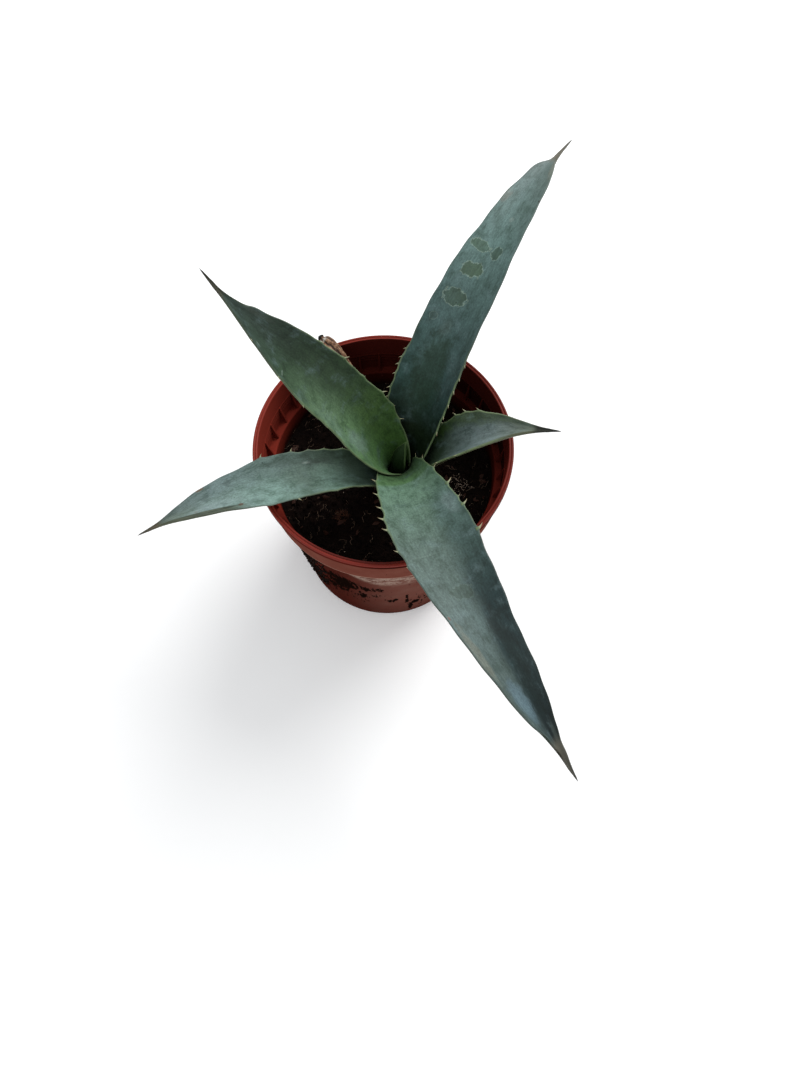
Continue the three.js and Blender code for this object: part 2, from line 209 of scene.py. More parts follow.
# %% Colours and finishes
def paint(red, green, blue):
    """A colour as a screen shows it, 0 to 255, turned into the values that light uses."""
    return tuple(
        v / 12.92 if v <= 0.04045 else ((v + 0.055) / 1.055) ** 2.4
        for v in (red / 255, green / 255, blue / 255)) + (1,)


class Finish(Graph):
    """A material in the making: its coordinates, its patterns and its layers of colour."""

    def __init__(self, name):
        self.material = bpy.data.materials.new(name)
        self.material.use_nodes = True
        super().__init__(self.material.node_tree)
        self.shader = self.tree.nodes["Principled BSDF"]
        self.place = self.node("ShaderNodeTexCoord", out="Object")

    def attribute(self, name):
        return self.node("ShaderNodeAttribute", {"attribute_name": name}, out="Fac")

    def noise(self, scale, detail=3, rough=0.5, at=None, out="Fac"):
        return self.node(
            "ShaderNodeTexNoise", None,
            {"Vector": at or self.place, "Scale": scale, "Detail": detail, "Roughness": rough},
            out)

    def ramp(self, factor, stops):
        return self.node("ShaderNodeValToRGB", {"stops": stops}, {0: factor})

    def mix(self, factor, under, over, blend="MIX"):
        return self.node(
            "ShaderNodeMix", {"data_type": "RGBA", "blend_type": blend},
            {0: factor, 6: under, 7: over}, 2)

    def bump(self, height, distance, strength=1.0, below=None):
        sockets = {"Height": height, "Distance": distance, "Strength": strength}
        if below is not None:
            sockets["Normal"] = below
        return self.node("ShaderNodeBump", None, sockets)

    def done(self, colour, roughness, normal=None, **others):
        others = {"Base_Color": colour, "Roughness": roughness, **others}
        if normal is not None:
            others["Normal"] = normal
        for key, value in others.items():
            socket = self.shader.inputs[key.replace("_", " ")]
            if isinstance(value, Wire):
                self.tree.links.new(value.socket, socket)
            else:
                socket.default_value = value
        return self.material


print("middle grey as light:", round(paint(128, 128, 128)[0], 3))


# %% The floor
FLOOR_REACH = 3


def floor_finish():
    """Nearly white, and a little lit from within, so that it stays pale to the picture's edge."""
    finish = Finish("pale_floor")
    colour = finish.mix(finish.noise(3), paint(249, 249, 248), paint(252, 252, 251))
    return finish.done(colour, 0.7, Emission_Color=(1, 1, 1, 1), Emission_Strength=0.12)


floor_mesh = bpy.data.meshes.new("floor")
floor_mesh.from_pydata(
    [(-FLOOR_REACH, -FLOOR_REACH, 0), (FLOOR_REACH, -FLOOR_REACH, 0),
     (FLOOR_REACH, FLOOR_REACH, 0), (-FLOOR_REACH, FLOOR_REACH, 0)], [], [(0, 1, 2, 3)])
floor = bpy.data.objects.new("floor", floor_mesh)
floor.data.materials.append(floor_finish())
scene.collection.objects.link(floor)
print("floor:", 2 * FLOOR_REACH, "m across")


# %% [markdown]
# ## Making meshes and growing things on them
# Nearly everything on a plant is a tube: a blade, a tooth, a rolled bud, a rootlet. Such shapes
# could be pulled about by hand, but points that a rule works out keep to their sizes and can be
# made again. Rings of points and their faces become a mesh here. Geometry Nodes do the repeating:
# a tree takes a shape and copies it on to marked points. `grown` applies such a tree and keeps
# the result as a plain mesh.


# %% Points and faces
def mesh_piece(name, points, faces, materials=(), attributes=None):
    """An object from points in millimetres, with float or vector attributes on its points."""
    mesh = bpy.data.meshes.new(name)
    mesh.from_pydata((np.asarray(points, float) * MM).tolist(), [], faces)
    for key, values in (attributes or {}).items():
        values = np.asarray(values, np.float32)
        kind, field = ("FLOAT", "value") if values.ndim == 1 else ("FLOAT_VECTOR", "vector")
        mesh.attributes.new(key, kind, "POINT").data.foreach_set(field, values.ravel())
    for material in materials:
        mesh.materials.append(material)
    mesh.shade_smooth()
    piece = bpy.data.objects.new(name, mesh)
    scene.collection.objects.link(piece)
    return piece


def grid_faces(rows, columns, closed=False, start=0):
    """Quads over rows x columns points; closed joins the last column to the first."""
    return [
        (start + r * columns + c, start + r * columns + (c + 1) % columns,
         start + (r + 1) * columns + (c + 1) % columns, start + (r + 1) * columns + c)
        for r in range(rows - 1) for c in range(columns if closed else columns - 1)]


def point_outwards(piece):
    """Merges doubles and turns every face to the outside."""
    shape = bmesh.new()
    shape.from_mesh(piece.data)
    bmesh.ops.remove_doubles(shape, verts=shape.verts, dist=1e-6)
    bmesh.ops.recalc_face_normals(shape, faces=shape.faces)
    shape.to_mesh(piece.data)
    shape.free()


def circle(count):
    """Angles evenly round a circle."""
    return np.arange(count) * TURN / count


def closed_tube(name, rings, foot, tip, materials=(), attributes=None):
    """A tube through rings of points, which one point closes at its foot and one at its tip."""
    rows, sides = len(rings), len(rings[0])
    points = np.vstack([np.reshape(rings, (-1, 3)), foot, tip])
    faces = grid_faces(rows, sides, closed=True)
    last = (rows - 1) * sides
    for j in range(sides):
        k = (j + 1) % sides
        faces += [(len(points) - 2, k, j), (last + j, last + k, len(points) - 1)]
    piece = mesh_piece(name, points, faces, materials, attributes)
    point_outwards(piece)
    return piece


# %% Modifiers and Geometry Nodes
def apply_modifiers(piece):
    """Replaces the piece's mesh by what its modifiers make of it."""
    graph = bpy.context.evaluated_depsgraph_get()
    mesh = bpy.data.meshes.new_from_object(
        piece.evaluated_get(graph), preserve_all_data_layers=True, depsgraph=graph)
    piece.modifiers.clear()
    piece.data = mesh
    return piece


def grown(piece, tree, **inputs):
    """Runs a Geometry Nodes tree on a piece, with its inputs given by name."""
    modifier = piece.modifiers.new(tree.name, "NODES")
    modifier.node_group = tree
    for item in tree.interface.items_tree:
        if item.in_out == "INPUT" and item.name in inputs:
            modifier[item.identifier] = inputs[item.name]
    return apply_modifiers(piece)


class Garden(Graph):
    """A Geometry Nodes tree with named inputs, which takes a shape and gives a shape."""

    def __init__(self, name, **inputs):
        super().__init__(bpy.data.node_groups.new(name, "GeometryNodeTree"))
        sides = self.tree.interface
        sides.new_socket(name="Shape", in_out="OUTPUT", socket_type="NodeSocketGeometry")
        sides.new_socket(name="Shape", in_out="INPUT", socket_type="NodeSocketGeometry")
        for key, kind in inputs.items():
            sides.new_socket(name=key, in_out="INPUT", socket_type="NodeSocket" + kind)
        self.source = self.tree.nodes.new("NodeGroupInput")
        self.result = self.tree.nodes.new("NodeGroupOutput")

    def given(self, name):
        return Wire(self, self.source.outputs[name])

    def named(self, name, kind="FLOAT"):
        return self.node(
            "GeometryNodeInputNamedAttribute", {"data_type": kind}, {"Name": name})

    def finish(self, shape):
        self.tree.links.new(shape.socket, self.result.inputs["Shape"])
        return self.tree


# %% [markdown]
# ## What every leaf has
# An agave leaf is a thick channelled blade. It clasps the stem, rises, arches over and ends in a
# hard spine. The margin is a thin horny line with hooked teeth that point back to the base, and
# each tooth stands on a small swelling. Five leaves could be sculpted one by one, but they all
# grow by one rule, so each is a row of sizes: its length, where it springs from the stem, how its
# heading, rise and roll change along it, how far its channel curls, its widths, and where its
# teeth stand. These are the sizes that the solids have, so the fine leaf lies where the solid
# does. Bulges move a margin in or out by up to 2.3 mm where the real one is uneven.

# %% The plant's sizes, in millimetres and degrees
CROWN = (8.8, 0.5)
SHEATH_FOOT = 101.5
GAP = 0.3
WIDTH_PLACES = (0, 0.1, 0.22, 0.36, 0.5, 0.64, 0.78, 0.9, 1)
THICKNESS = (1.15, 1.25, 1.15, 1, 0.9, 0.8, 0.62, 0.4, 0)
CURL_PLACES = (0, 0.12, 0.5, 1)
EDGE = 1.0
SPINE_RADIUS = 0.3

LEAVES = {
    "leaf_inner": dict(
        length=179, base=(6.5, 113), heading=(167, -1), rise=(76.5, -65.5, 56), roll=(15, 1),
        curl=(2.5, 1.1, 0.65, 1.1), thick=3.4,
        half_widths=(16.8, 18.5, 21.3, 19.8, 18.2, 14, 7.3, 1.2, 0),
        right=(0.145, 0.2, 0.267, 0.36, 0.46, 0.56), left=(0.3, 0.4, 0.52, 0.64, 0.77),
        bulges={-1: ((0.36, 0.14, -2.3),), 1: ((0.873, 0.038, -1.6), (0.833, 0.02, -1.3))}),
    "leaf_front": dict(
        length=239.5, base=(6.8, 114), heading=(-84, 32), rise=(57.8, -88.5, -17.2),
        roll=(-5, 15), curl=(1.46, 0.66, 0.36, 0.92), thick=5,
        half_widths=(12.8, 16.6, 18.9, 21.1, 18.2, 13.6, 9, 1.7, 0),
        right=(0.121, 0.193, 0.25, 0.291, 0.327, 0.392, 0.437),
        left=(0.02, 0.055, 0.127, 0.226, 0.29, 0.32, 0.405),
        bulges={1: ((0.862, 0.022, -1.8), (0.908, 0.02, -1.2)),
                -1: ((0.865, 0.02, 0.4), (0.915, 0.025, 0.6))}),
    "leaf_back": dict(
        length=233.5, base=(8, 108), heading=(55, 0.5), rise=(78.3, -105.7, 8.7),
        roll=(2, 15), curl=(1.36, 0.9, 0.5, 0.5), thick=4.8,
        half_widths=(14.2, 17.9, 19.1, 17.9, 16.6, 13, 9, 1.3, 0),
        right=(0.165, 0.208, 0.238, 0.272, 0.304, 0.335),
        left=(0.18, 0.205, 0.241, 0.265, 0.283, 0.305),
        bulges={-1: ((0.845, 0.035, 1.5), (0.885, 0.02, -0.9)), 1: ((0.885, 0.02, -0.9),)}),
    "leaf_left": dict(
        length=167.5, base=(10, 104), heading=(202.5, -11), rise=(62.8, -126.3, 31.2),
        roll=(1, -12), curl=(1.35, 0.7, 0.36, 0.94), thick=4.2,
        half_widths=(12.2, 13.3, 13.3, 14.6, 15.2, 11.6, 6.8, 1.2, 0),
        right=(0.208, 0.28, 0.34, 0.4, 0.505), left=(0.2, 0.3, 0.433, 0.52)),
    "leaf_right": dict(
        length=115.7, base=(10.5, 104), heading=(-6.5, -16), rise=(72.4, -45.8, -9.5),
        roll=(-1, 0), curl=(1.36, 1.04, 0.85, 1.07), thick=3.6,
        half_widths=(11.4, 12, 12.5, 13.7, 14.5, 11.4, 5.3, 1, 0),
        right=(0.36, 0.5), left=(0.35, 0.445, 0.506, 0.583)),
}
print("leaves:", ", ".join(f"{name} {leaf['length']} mm" for name, leaf in LEAVES.items()))


# %% The leaf's middle line and its own axes
def smooth_through(places, values, x):
    """A Hermite curve through values given at rising places."""
    places, values = np.asarray(places, float), np.asarray(values, float)
    before = np.r_[0, np.arange(len(places) - 1)]
    after = np.r_[np.arange(1, len(places)), len(places) - 1]
    slope = (values[after] - values[before]) / (places[after] - places[before])
    i = np.clip(np.searchsorted(places, x, "right") - 1, 0, len(places) - 2)
    span = places[i + 1] - places[i]
    t = np.clip((x - places[i]) / span, 0, 1)
    return ((2 * t**3 - 3 * t**2 + 1) * values[i] + (t**3 - 2 * t**2 + t) * span * slope[i]
            + (3 * t**2 - 2 * t**3) * values[i + 1] + (t**3 - t**2) * span * slope[i + 1])


def blade_axes(leaf, s):
    """Unit vectors along the leaf, to its right and out of its upper face."""
    heading = np.radians(leaf["heading"][0] + leaf["heading"][1] * s)
    rise = np.radians(leaf["rise"][0] + leaf["rise"][1] * s + leaf["rise"][2] * s * s)
    roll = np.radians(leaf["roll"][0] + leaf["roll"][1] * s)[:, None]
    forward = np.stack(
        [np.cos(rise) * np.cos(heading), np.cos(rise) * np.sin(heading), np.sin(rise)], 1)
    level = np.stack([np.sin(heading), -np.cos(heading), 0 * heading], 1)
    side = level * np.cos(roll) + np.cross(level, forward) * np.sin(roll)
    return forward, side, np.cross(side, forward)


def middle_line(leaf, s, steps=240):
    """Points of the leaf's middle line, found by stepping along it."""
    forward = blade_axes(leaf, (np.arange(steps) + 0.5) / steps)[0] * leaf["length"] / steps
    walked = np.vstack([np.zeros(3), np.cumsum(forward, 0)])
    heading = math.radians(leaf["heading"][0])
    reach, height = leaf["base"]
    start = np.array([CROWN[0] + reach * math.cos(heading),
                      CROWN[1] + reach * math.sin(heading), height])
    marks = np.linspace(0, 1, steps + 1)
    return start + np.stack([np.interp(s, marks, walked[:, k]) for k in range(3)], 1)


tips = {name: middle_line(leaf, np.ones(1))[0] for name, leaf in LEAVES.items()}
print("tips, mm up:", ", ".join(f"{name} {tip[2]:.0f}" for name, tip in tips.items()))

# %% The margin
SWELLING = 0.7
SWELLING_REACH = 2.4
WAVES = ((0.22, 6.1, 1), (0.16, 2.9, 2))


def swelling(leaf, side, s):
    """How far the margin stands out at the teeth, and its slow unevenness between them."""
    stands = np.zeros_like(s)
    for place in leaf["right" if side > 0 else "left"]:
        stands += SWELLING * np.exp(-(((s - place) * leaf["length"] / SWELLING_REACH) ** 2))
    for place, reach, amount in leaf.get("bulges", {}).get(side, ()):
        stands += amount * np.exp(-(((s - place) / reach) ** 2))
    uneven = sum(height * np.sin(s * leaf["length"] / pitch + shift * side)
                 for height, pitch, shift in WAVES)
    fade = np.clip((0.85 - s) / 0.1, 0, 1)
    return stands + uneven * fade


most = max(swelling(leaf, side, np.linspace(0, 1, 500)).max()
           for leaf in LEAVES.values() for side in (-1, 1))
print("the margin stands out by", round(most, 2), "mm at most")


# %% A point anywhere on the blade
def on_blade(leaf, s, u, grow=0.0):
    """Upper-face points at places s and at u from -1, the left margin, to 1, the right one."""
    forward, side, up = (a[:, None, :] for a in blade_axes(leaf, s))
    half = np.maximum(smooth_through(WIDTH_PLACES, leaf["half_widths"], s), SPINE_RADIUS) + grow
    curl = smooth_through(CURL_PLACES, leaf["curl"], s)
    half, curl, u = half[:, None], curl[:, None], u[None, :]
    stands = np.where(
        u > 0, swelling(leaf, 1, s)[:, None], swelling(leaf, -1, s)[:, None]) * np.abs(u) ** 8
    angle = (curl * u * (1 + stands / half))[..., None]
    radius = (half / curl)[..., None]
    point = (middle_line(leaf, s)[:, None, :] + side * radius * np.sin(angle)
             + up * radius * (1 - np.cos(angle)))
    out = up * np.cos(angle) - side * np.sin(angle)
    across = side * np.cos(angle) + up * np.sin(angle)
    middle = leaf["thick"] * smooth_through(WIDTH_PLACES, THICKNESS, s)[:, None]
    edge = np.minimum(EDGE, middle)
    thickness = edge + (middle - edge) * (1 - u * u)
    margin_distance = half * (1 - np.abs(u))
    return point, out, across, thickness, margin_distance, forward


# %% [markdown]
# ### The blade as a mesh
# The blade is a tube whose section is the channel: along the upper face, round the rim, and back
# along the underside. A thin sheet with a Solidify modifier would be quicker, but its rim would be
# square and its thickness even, and a real leaf is thick in the middle and round at the rim. Each
# point remembers how far along and across the leaf it is, so that the finish can follow the leaf
# however it bends. The rings stand closer together at each tooth, because the margin swells there.

# %% Where the rings stand
ACROSS = 41
ALONG = 200
RIM = 0.28
RELIEF = 0.22
SHEATH_RINGS = 5
ROOM_REACH = 0.42
ROOM_ALONG = 40
ROOM_ACROSS = 13
CLASPING = 0.13


def blade_places(leaf):
    """Places along the leaf: even steps, and more of them round each tooth."""
    even = np.linspace(0, 0.985, ALONG)
    close = [place + step / leaf["length"] for place in leaf["right"] + leaf["left"]
             for step in (-1.6, -0.8, 0, 0.8, 1.6)]
    places = np.unique(np.round(np.r_[even, close], 5))
    keep = np.r_[True, np.diff(places) > 1e-4]
    return places[keep]


def relief(s, u, seed):
    """Slow waves of the upper face, from -1 to 1."""
    return np.array([[noise.noise((a * 7, b * 1.6, seed)) for b in u] for a in s])


print("rings:", ", ".join(f"{name} {len(blade_places(leaf))}" for name, leaf in LEAVES.items()))


# %% Rings of points round the blade
def blade_rings(leaf, seed, grow=0.0, across=ACROSS):
    """Rings of points round the blade and, for each, how far along and across it is.

    A blade that is grown is the room that it takes up near its base, with its clasping channel
    filled, for cutting the leaves round it.
    """
    s = blade_places(leaf) if grow == 0 else np.linspace(0, ROOM_REACH, ROOM_ALONG)
    even = np.linspace(-1, 1, across)
    u = np.sin(even * math.pi / 2) * 0.35 + even * 0.65
    point, out, side, thick, rim, _ = on_blade(leaf, s, u, grow)
    calm = np.clip((0.9 - s) / 0.15, 0, 1) * np.clip(s / 0.1, 0, 1)
    wave = relief(s, u, seed) * RELIEF * calm[:, None]
    upper = point + out * (grow + wave[..., None])
    under = point - out * (thick + grow - 0.5 * wave)[..., None]
    if grow > 0:
        clasped = s < CLASPING
        blend = np.linspace(0, 1, across)[None, :, None]
        filled = upper[:, :1] * (1 - blend) + upper[:, -1:] * blend
        upper = np.where(clasped[:, None, None], filled, upper)
    rims = []
    for column, sign in ((-1, 1), (0, -1)):
        bulge = side[:, column] * sign * np.minimum(RIM, thick[:, column, None] * 0.3)
        rims.append([point[:, column] + bulge * w - out[:, column] * thick[:, column, None] * d
                     for w, d in ((0.8, 0.2), (1, 0.5), (0.8, 0.8))])
    right, left = (np.stack(r, 1) for r in rims)
    rings = np.concatenate([upper, right, under[:, ::-1], left[:, ::-1]], 1)
    ones = np.ones((len(s), 3))
    marks = {
        "along": np.repeat(s[:, None], rings.shape[1], 1),
        "across": np.concatenate([u[None] + 0 * rim, ones, (u[None] + 0 * rim)[:, ::-1], -ones], 1),
        "rim": np.concatenate([rim, 0 * ones, rim[:, ::-1], 0 * ones], 1),
        "under": np.concatenate([0 * rim, 0.5 * ones, 1 + 0 * rim, 0.5 * ones], 1),
    }
    return rings, marks


# %% The blade's mesh
def blade_mesh(name, leaf, seed, grow=0.0, across=ACROSS, materials=()):
    """The whole blade as a closed piece, with its sheath going down round the stem."""
    rings, marks = blade_rings(leaf, seed, grow, across)
    drop = leaf["base"][1] - leaf.get("sheath", SHEATH_FOOT) + grow
    sheath = np.stack([rings[0] - np.array([0, 0, drop * (1 - k / SHEATH_RINGS)])
                       for k in range(SHEATH_RINGS)])
    rings = np.concatenate([sheath, rings])
    marks = {k: np.concatenate([np.repeat(v[:1], SHEATH_RINGS, 0), v]).ravel()
             for k, v in marks.items()}
    rows, columns = rings.shape[:2]
    faces = grid_faces(rows, columns, closed=True)
    under_start = across + 3
    faces += [(j + 1, j, under_start + across - 1 - j, under_start + across - 2 - j)
              for j in range(across - 1)]
    faces.append((0, columns - 1, columns - 2, columns - 3, under_start + across - 1))
    faces.append((under_start, under_start - 1, under_start - 2, under_start - 3, across - 1))
    last = (rows - 1) * columns
    tip = middle_line(leaf, np.array([1.0]))[0] if grow == 0 else rings[-1].mean(0)
    points = np.vstack([rings.reshape(-1, 3), tip])
    faces += [(last + j, last + (j + 1) % columns, len(points) - 1) for j in range(columns)]
    marks = {k: np.r_[v, v[-1] if k != "along" else 1] for k, v in marks.items()}
    piece = mesh_piece(name, points, faces, materials, marks)
    point_outwards(piece)
    return piece


def room_of(name, leaf):
    """The room that a leaf takes up near its base, with the gap round it."""
    return blade_mesh(name + "_room", leaf, 0, grow=GAP, across=ROOM_ACROSS)


rooms = {name: room_of(name, leaf) for name, leaf in LEAVES.items()}
print("a leaf's room:", len(rooms["leaf_inner"].data.polygons), "faces")

# %% [markdown]
# ### Teeth by Geometry Nodes
# The same hooked tooth repeats along every margin. It could be copied in Python, but putting one
# thing on many marked points is what Geometry Nodes are for. For each leaf a few loose points say
# where teeth stand, how big they are, and which ways are outward and ahead. The tree puts a tooth
# on each point, turned to suit, and joins them to the blade.


# %% One tooth
TOOTH_LENGTH = 2.8
TOOTH_SUNK = 1.1
TOOTH_BEND = 1.7


def tooth_mesh():
    """A horn with a broad root, drawn out along X and bent back to the leaf's base."""
    sides, rows = 10, 9
    rings = []
    for t in np.arange(rows) / (rows - 1):
        reach = -TOOTH_SUNK + (TOOTH_LENGTH + TOOTH_SUNK) * t
        bend = -TOOTH_BEND * t**2.4
        wide = 1.6 * (1 - t) ** 1.9 + 0.1
        deep = 0.5 * (1 - t) ** 0.8 + 0.06
        rings.append([(reach, bend + wide * math.cos(a), deep * math.sin(a))
                      for a in circle(sides)])
    foot, tip = (-TOOTH_SUNK, 0, 0), (TOOTH_LENGTH + 0.1, -TOOTH_BEND - 0.1, 0)
    reach = [max(0, point[0] / TOOTH_LENGTH) for ring in (*rings, [foot, tip]) for point in ring]
    return closed_tube("tooth", rings, foot, tip, attributes={"reach": reach})


TOOTH = tooth_mesh()
print("one tooth:", len(TOOTH.data.polygons), "faces")


# %% The tree that sets teeth on a margin
def tooth_tree():
    """Sets a tooth on each socket and joins the teeth to the shape."""
    garden = Garden("teeth_on_a_margin", Sockets="Object", Tooth="Object", Finish="Material")
    sockets, tooth = (
        garden.node("GeometryNodeObjectInfo", None, {"Object": garden.given(key)}, "Geometry")
        for key in ("Sockets", "Tooth"))
    turned = garden.node(
        "FunctionNodeAxesToRotation", {"primary_axis": "X", "secondary_axis": "Y"},
        {0: garden.named("outward", "FLOAT_VECTOR"), 1: garden.named("ahead", "FLOAT_VECTOR")})
    teeth = garden.node("GeometryNodeInstanceOnPoints", None, {
        "Points": sockets, "Instance": tooth, "Rotation": turned, "Scale": garden.named("size")})
    teeth = garden.node("GeometryNodeRealizeInstances", None, {0: teeth})
    teeth = garden.node(
        "GeometryNodeSetMaterial", None, {"Geometry": teeth, "Material": garden.given("Finish")})
    both = [garden.given("Shape"), teeth]
    return garden.finish(garden.node("GeometryNodeJoinGeometry", None, {0: both}))


TEETH = tooth_tree()
print("tooth tree:", len(TEETH.nodes), "nodes")

# %% Where the teeth stand
TOOTH_SIZES = {
    "leaf_inner": ((0.85, 0.3, 0.9, 0.3, 0.9, 0.35), (0.3, 0.3, 0.55, 0.7, 0.5)),
    "leaf_front": ((0.9, 0.9, 1, 1.1, 1, 0.8, 0.4), (0.8, 0.8, 0.8, 1.2, 0.6, 1.1, 1.2)),
    "leaf_back": ((0.75, 0.7, 0.65, 0.75, 0.65, 0.6), (0.7, 0.75, 0.65, 0.7, 0.6, 0.6)),
    "leaf_left": ((0.3, 0.4, 0.3, 0.8, 0.85), (0.3, 0.3, 0.8, 0.3)),
    "leaf_right": ((0.6, 0.6), (0.75, 0.75, 0.8, 0.7)),
}


def tooth_sockets(name, leaf):
    """Loose points on both margins with each tooth's size and directions."""
    points, outward, ahead = [], [], []
    for side, places in ((1, leaf["right"]), (-1, leaf["left"])):
        point, out, across, thick, _, forward = on_blade(
            leaf, np.array(places), np.array([float(side)]))
        points += list(point[:, 0] - out[:, 0] * thick[:, :1] / 2)
        outward += list(across[:, 0] * side)
        ahead += list(forward[:, 0])
    sizes = [size for row in TOOTH_SIZES[name] for size in row]
    return mesh_piece(name + "_sockets", points, [], attributes={
        "size": sizes, "outward": outward, "ahead": ahead})


print("teeth:", ", ".join(f"{name} {sum(map(len, rows))}" for name, rows in TOOTH_SIZES.items()))

# %% [markdown]
# ### Leaves that wrap each other
# In the crown the older leaves wrap the younger ones. Blades made one by one run through each
# other there. That would hardly show, but real leaves don't share their space, so each is cut
# clear of the stem and of every leaf that grew after it. A cut makes new points without marks, so
# every point takes its marks anew from the blade as it was.


# %% Cutting a piece
def cut_by(piece, cutters):
    """Takes away from the piece all that lies in the cutters."""
    for cutter in cutters:
        modifier = piece.modifiers.new("cut", "BOOLEAN")
        modifier.operation = "DIFFERENCE"
        modifier.solver = "EXACT"
        modifier.object = cutter
        apply_modifiers(piece)
    return piece


def keep_largest_body(piece):
    """Drops the scraps that a cut leaves beside the main body."""
    shape = bmesh.new()
    shape.from_mesh(piece.data)
    unseen, bodies = set(shape.verts), []
    while unseen:
        front = [unseen.pop()]
        body = set(front)
        while front:
            vert = front.pop()
            near = {edge.other_vert(vert) for edge in vert.link_edges} & unseen
            unseen -= near
            body |= near
            front += near
        bodies.append(body)
    scraps = [vert for body in sorted(bodies, key=len)[:-1] for vert in body]
    bmesh.ops.delete(shape, geom=scraps, context="VERTS")
    shape.to_mesh(piece.data)
    shape.free()


# %% Marking the cut piece again
def read_marks(mesh, names):
    """The values of named marks at every point of a mesh."""
    marks = {}
    for name in names:
        values = np.zeros(len(mesh.vertices), np.float32)
        mesh.attributes[name].data.foreach_get("value", values)
        marks[name] = values
    return marks


def mark_like(piece, places, marks):
    """Gives each point the marks of the nearest of the given places."""
    tree = kdtree.KDTree(len(places))
    for index, place in enumerate(places):
        tree.insert(place, index)
    tree.balance()
    nearest = [tree.find(vertex.co)[1] for vertex in piece.data.vertices]
    for name, values in marks.items():
        attribute = piece.data.attributes.get(name) or piece.data.attributes.new(
            name, "FLOAT", "POINT")
        attribute.data.foreach_set("value", values[nearest])


# %% Growing one leaf
def grow_leaf(name, leaf, seed, finish, horn, younger):
    """One finished leaf: its blade, cut clear of the younger ones, with its teeth."""
    blade = blade_mesh(name + "_fine", leaf, seed, materials=[finish])
    places = [vertex.co.copy() for vertex in blade.data.vertices]
    marks = read_marks(blade.data, ("along", "across", "rim", "under"))
    cut_by(blade, younger)
    keep_largest_body(blade)
    mark_like(blade, places, marks)
    blade.data.materials.clear()
    blade.data.materials.append(finish)
    sockets = tooth_sockets(name, leaf)
    grown(blade, TEETH, Sockets=sockets, Tooth=TOOTH, Finish=horn)
    bpy.data.objects.remove(sockets)
    blade.data.shade_smooth()
    print(name, len(blade.data.polygons), "faces")
    return blade


# %% [markdown]
# ## Finishes of the plant
# An agave leaf is green under a waxy bloom that scatters light, so it looks blue-grey and matt. The
# bloom is thin where leaves rubbed each other in the bud, which leaves darker bands, and it goes
# wherever something scraped the leaf, which leaves olive scars with a pale outline. A pattern
# could be laid through space, but it would run straight through a blade that bends. Finish and
# marks are laid out in millimetres on the leaf as if it were opened flat, so they keep their shape
# on it. The margin is a pale horn line near the base and thin and brown beyond.

# %% Patterns on the opened leaf
FLAT_HALF = 16
UNDERSIDE_AWAY = 9


def leaf_patterns(finish, length, across, along, under):
    """Patterns on the opened leaf from broad to fine, and the lines that run along it."""
    beneath = under * UNDERSIDE_AWAY
    flat = finish.vector(along * length, across * FLAT_HALF, beneath)
    stretched = finish.vector(along * (length * 0.07), across * (FLAT_HALF * 0.8), beneath)
    fibrous = finish.vector(along * (length * 0.65), across * FLAT_HALF, beneath)
    return (flat, finish.noise(0.045, 4, 0.55, flat), finish.noise(0.2, 5, 0.68, fibrous),
            finish.noise(1.2, 3, 0.7, fibrous), finish.noise(1, 5, 0.65, stretched))


print("the opened leaves are", 2 * FLAT_HALF, "mm wide to their patterns")


# %% Scars and smudges
SCAR_EDGE = (130, 150, 136)
MARK_DEPTH = 20


def leaf_marks(finish, colour, patterns, length, marks):
    """Scars, smudges, prints and painted shade: each has a place, a reach, a colour, a strength and
    an outline.
    """
    flat, cloud, blotch, grain, _ = patterns
    for s, u, reach, hue, strength, outline in marks:
        away = finish.vector_maths("SUBTRACT", flat, (s * length, u * FLAT_HALF, 0))
        away = finish.vector_maths("DIVIDE", away, (*reach, MARK_DEPTH))
        spot = finish.length(away) + (blotch - 0.5) * 2
        soft = 0.07 if outline else 0.4
        worn = (grain * 0.6 + cloud * 0.8).step(0.5, 0.85) * 0.5 + 0.5 if outline else 1
        colour = finish.mix(
            spot.step(1 + soft, 1 - soft) * strength * worn, colour, paint(*hue))
        if outline:
            ring = spot.step(0.94, 1.03) * spot.step(1.13, 1.05)
            colour = finish.mix(ring * outline, colour, paint(*SCAR_EDGE))
    return colour


# %% The bloom
def leaf_bloom(finish, look, patterns, along, across):
    """The wax's colour on the lit flank and, as painted shade, on the other, and how far the leaf
    is in that shade.
    """
    flat, cloud, blotch, _, lines = patterns
    wander = along + (cloud - 0.5) * look.get("wander", 0.12) + across * look.get("slant", 0)
    # Of these two ramps, the first is the lit flank's colour and the second is painted shade on the
    # other flank.
    bloom, shade = (
        finish.ramp(wander, [(p, paint(*c)) for p, c in look[key]]) for key in ("bloom", "shade"))
    split, soft = look["split"]
    ragged = (cloud - 0.5) * 0.8 + (blotch - 0.5) * look.get("ragged", 0.6)
    drift = (along - 0.5) * look.get("drift", 0)
    # Painted shade: past the split, on the given side, the leaf takes the shade colours.
    painted_shade_flank = (across * look["side"] + drift + ragged).step(split - soft, split + soft)
    colour = finish.mix(painted_shade_flank, bloom, shade)
    frost = (finish.noise(0.09, 5, 0.68, flat) + (lines - 0.5) * 0.15).step(0.5, 0.72)
    colour = finish.mix(frost * look.get("frost", 0.3), colour, paint(104, 124, 126))
    colour = finish.mix(blotch.step(0.55, 0.3) * 0.6, colour, finish.mix(
        1, colour, paint(184, 204, 186), "MULTIPLY"))
    return colour, painted_shade_flank


# %% Mottling, folds and the underside
MOTTLING = ((0.44, 1.4, 0.52), (0.38, 1.9, 0.51), (0.26, 1.5, 0.51))
NO_FOLD = (1, 1.2, 1)


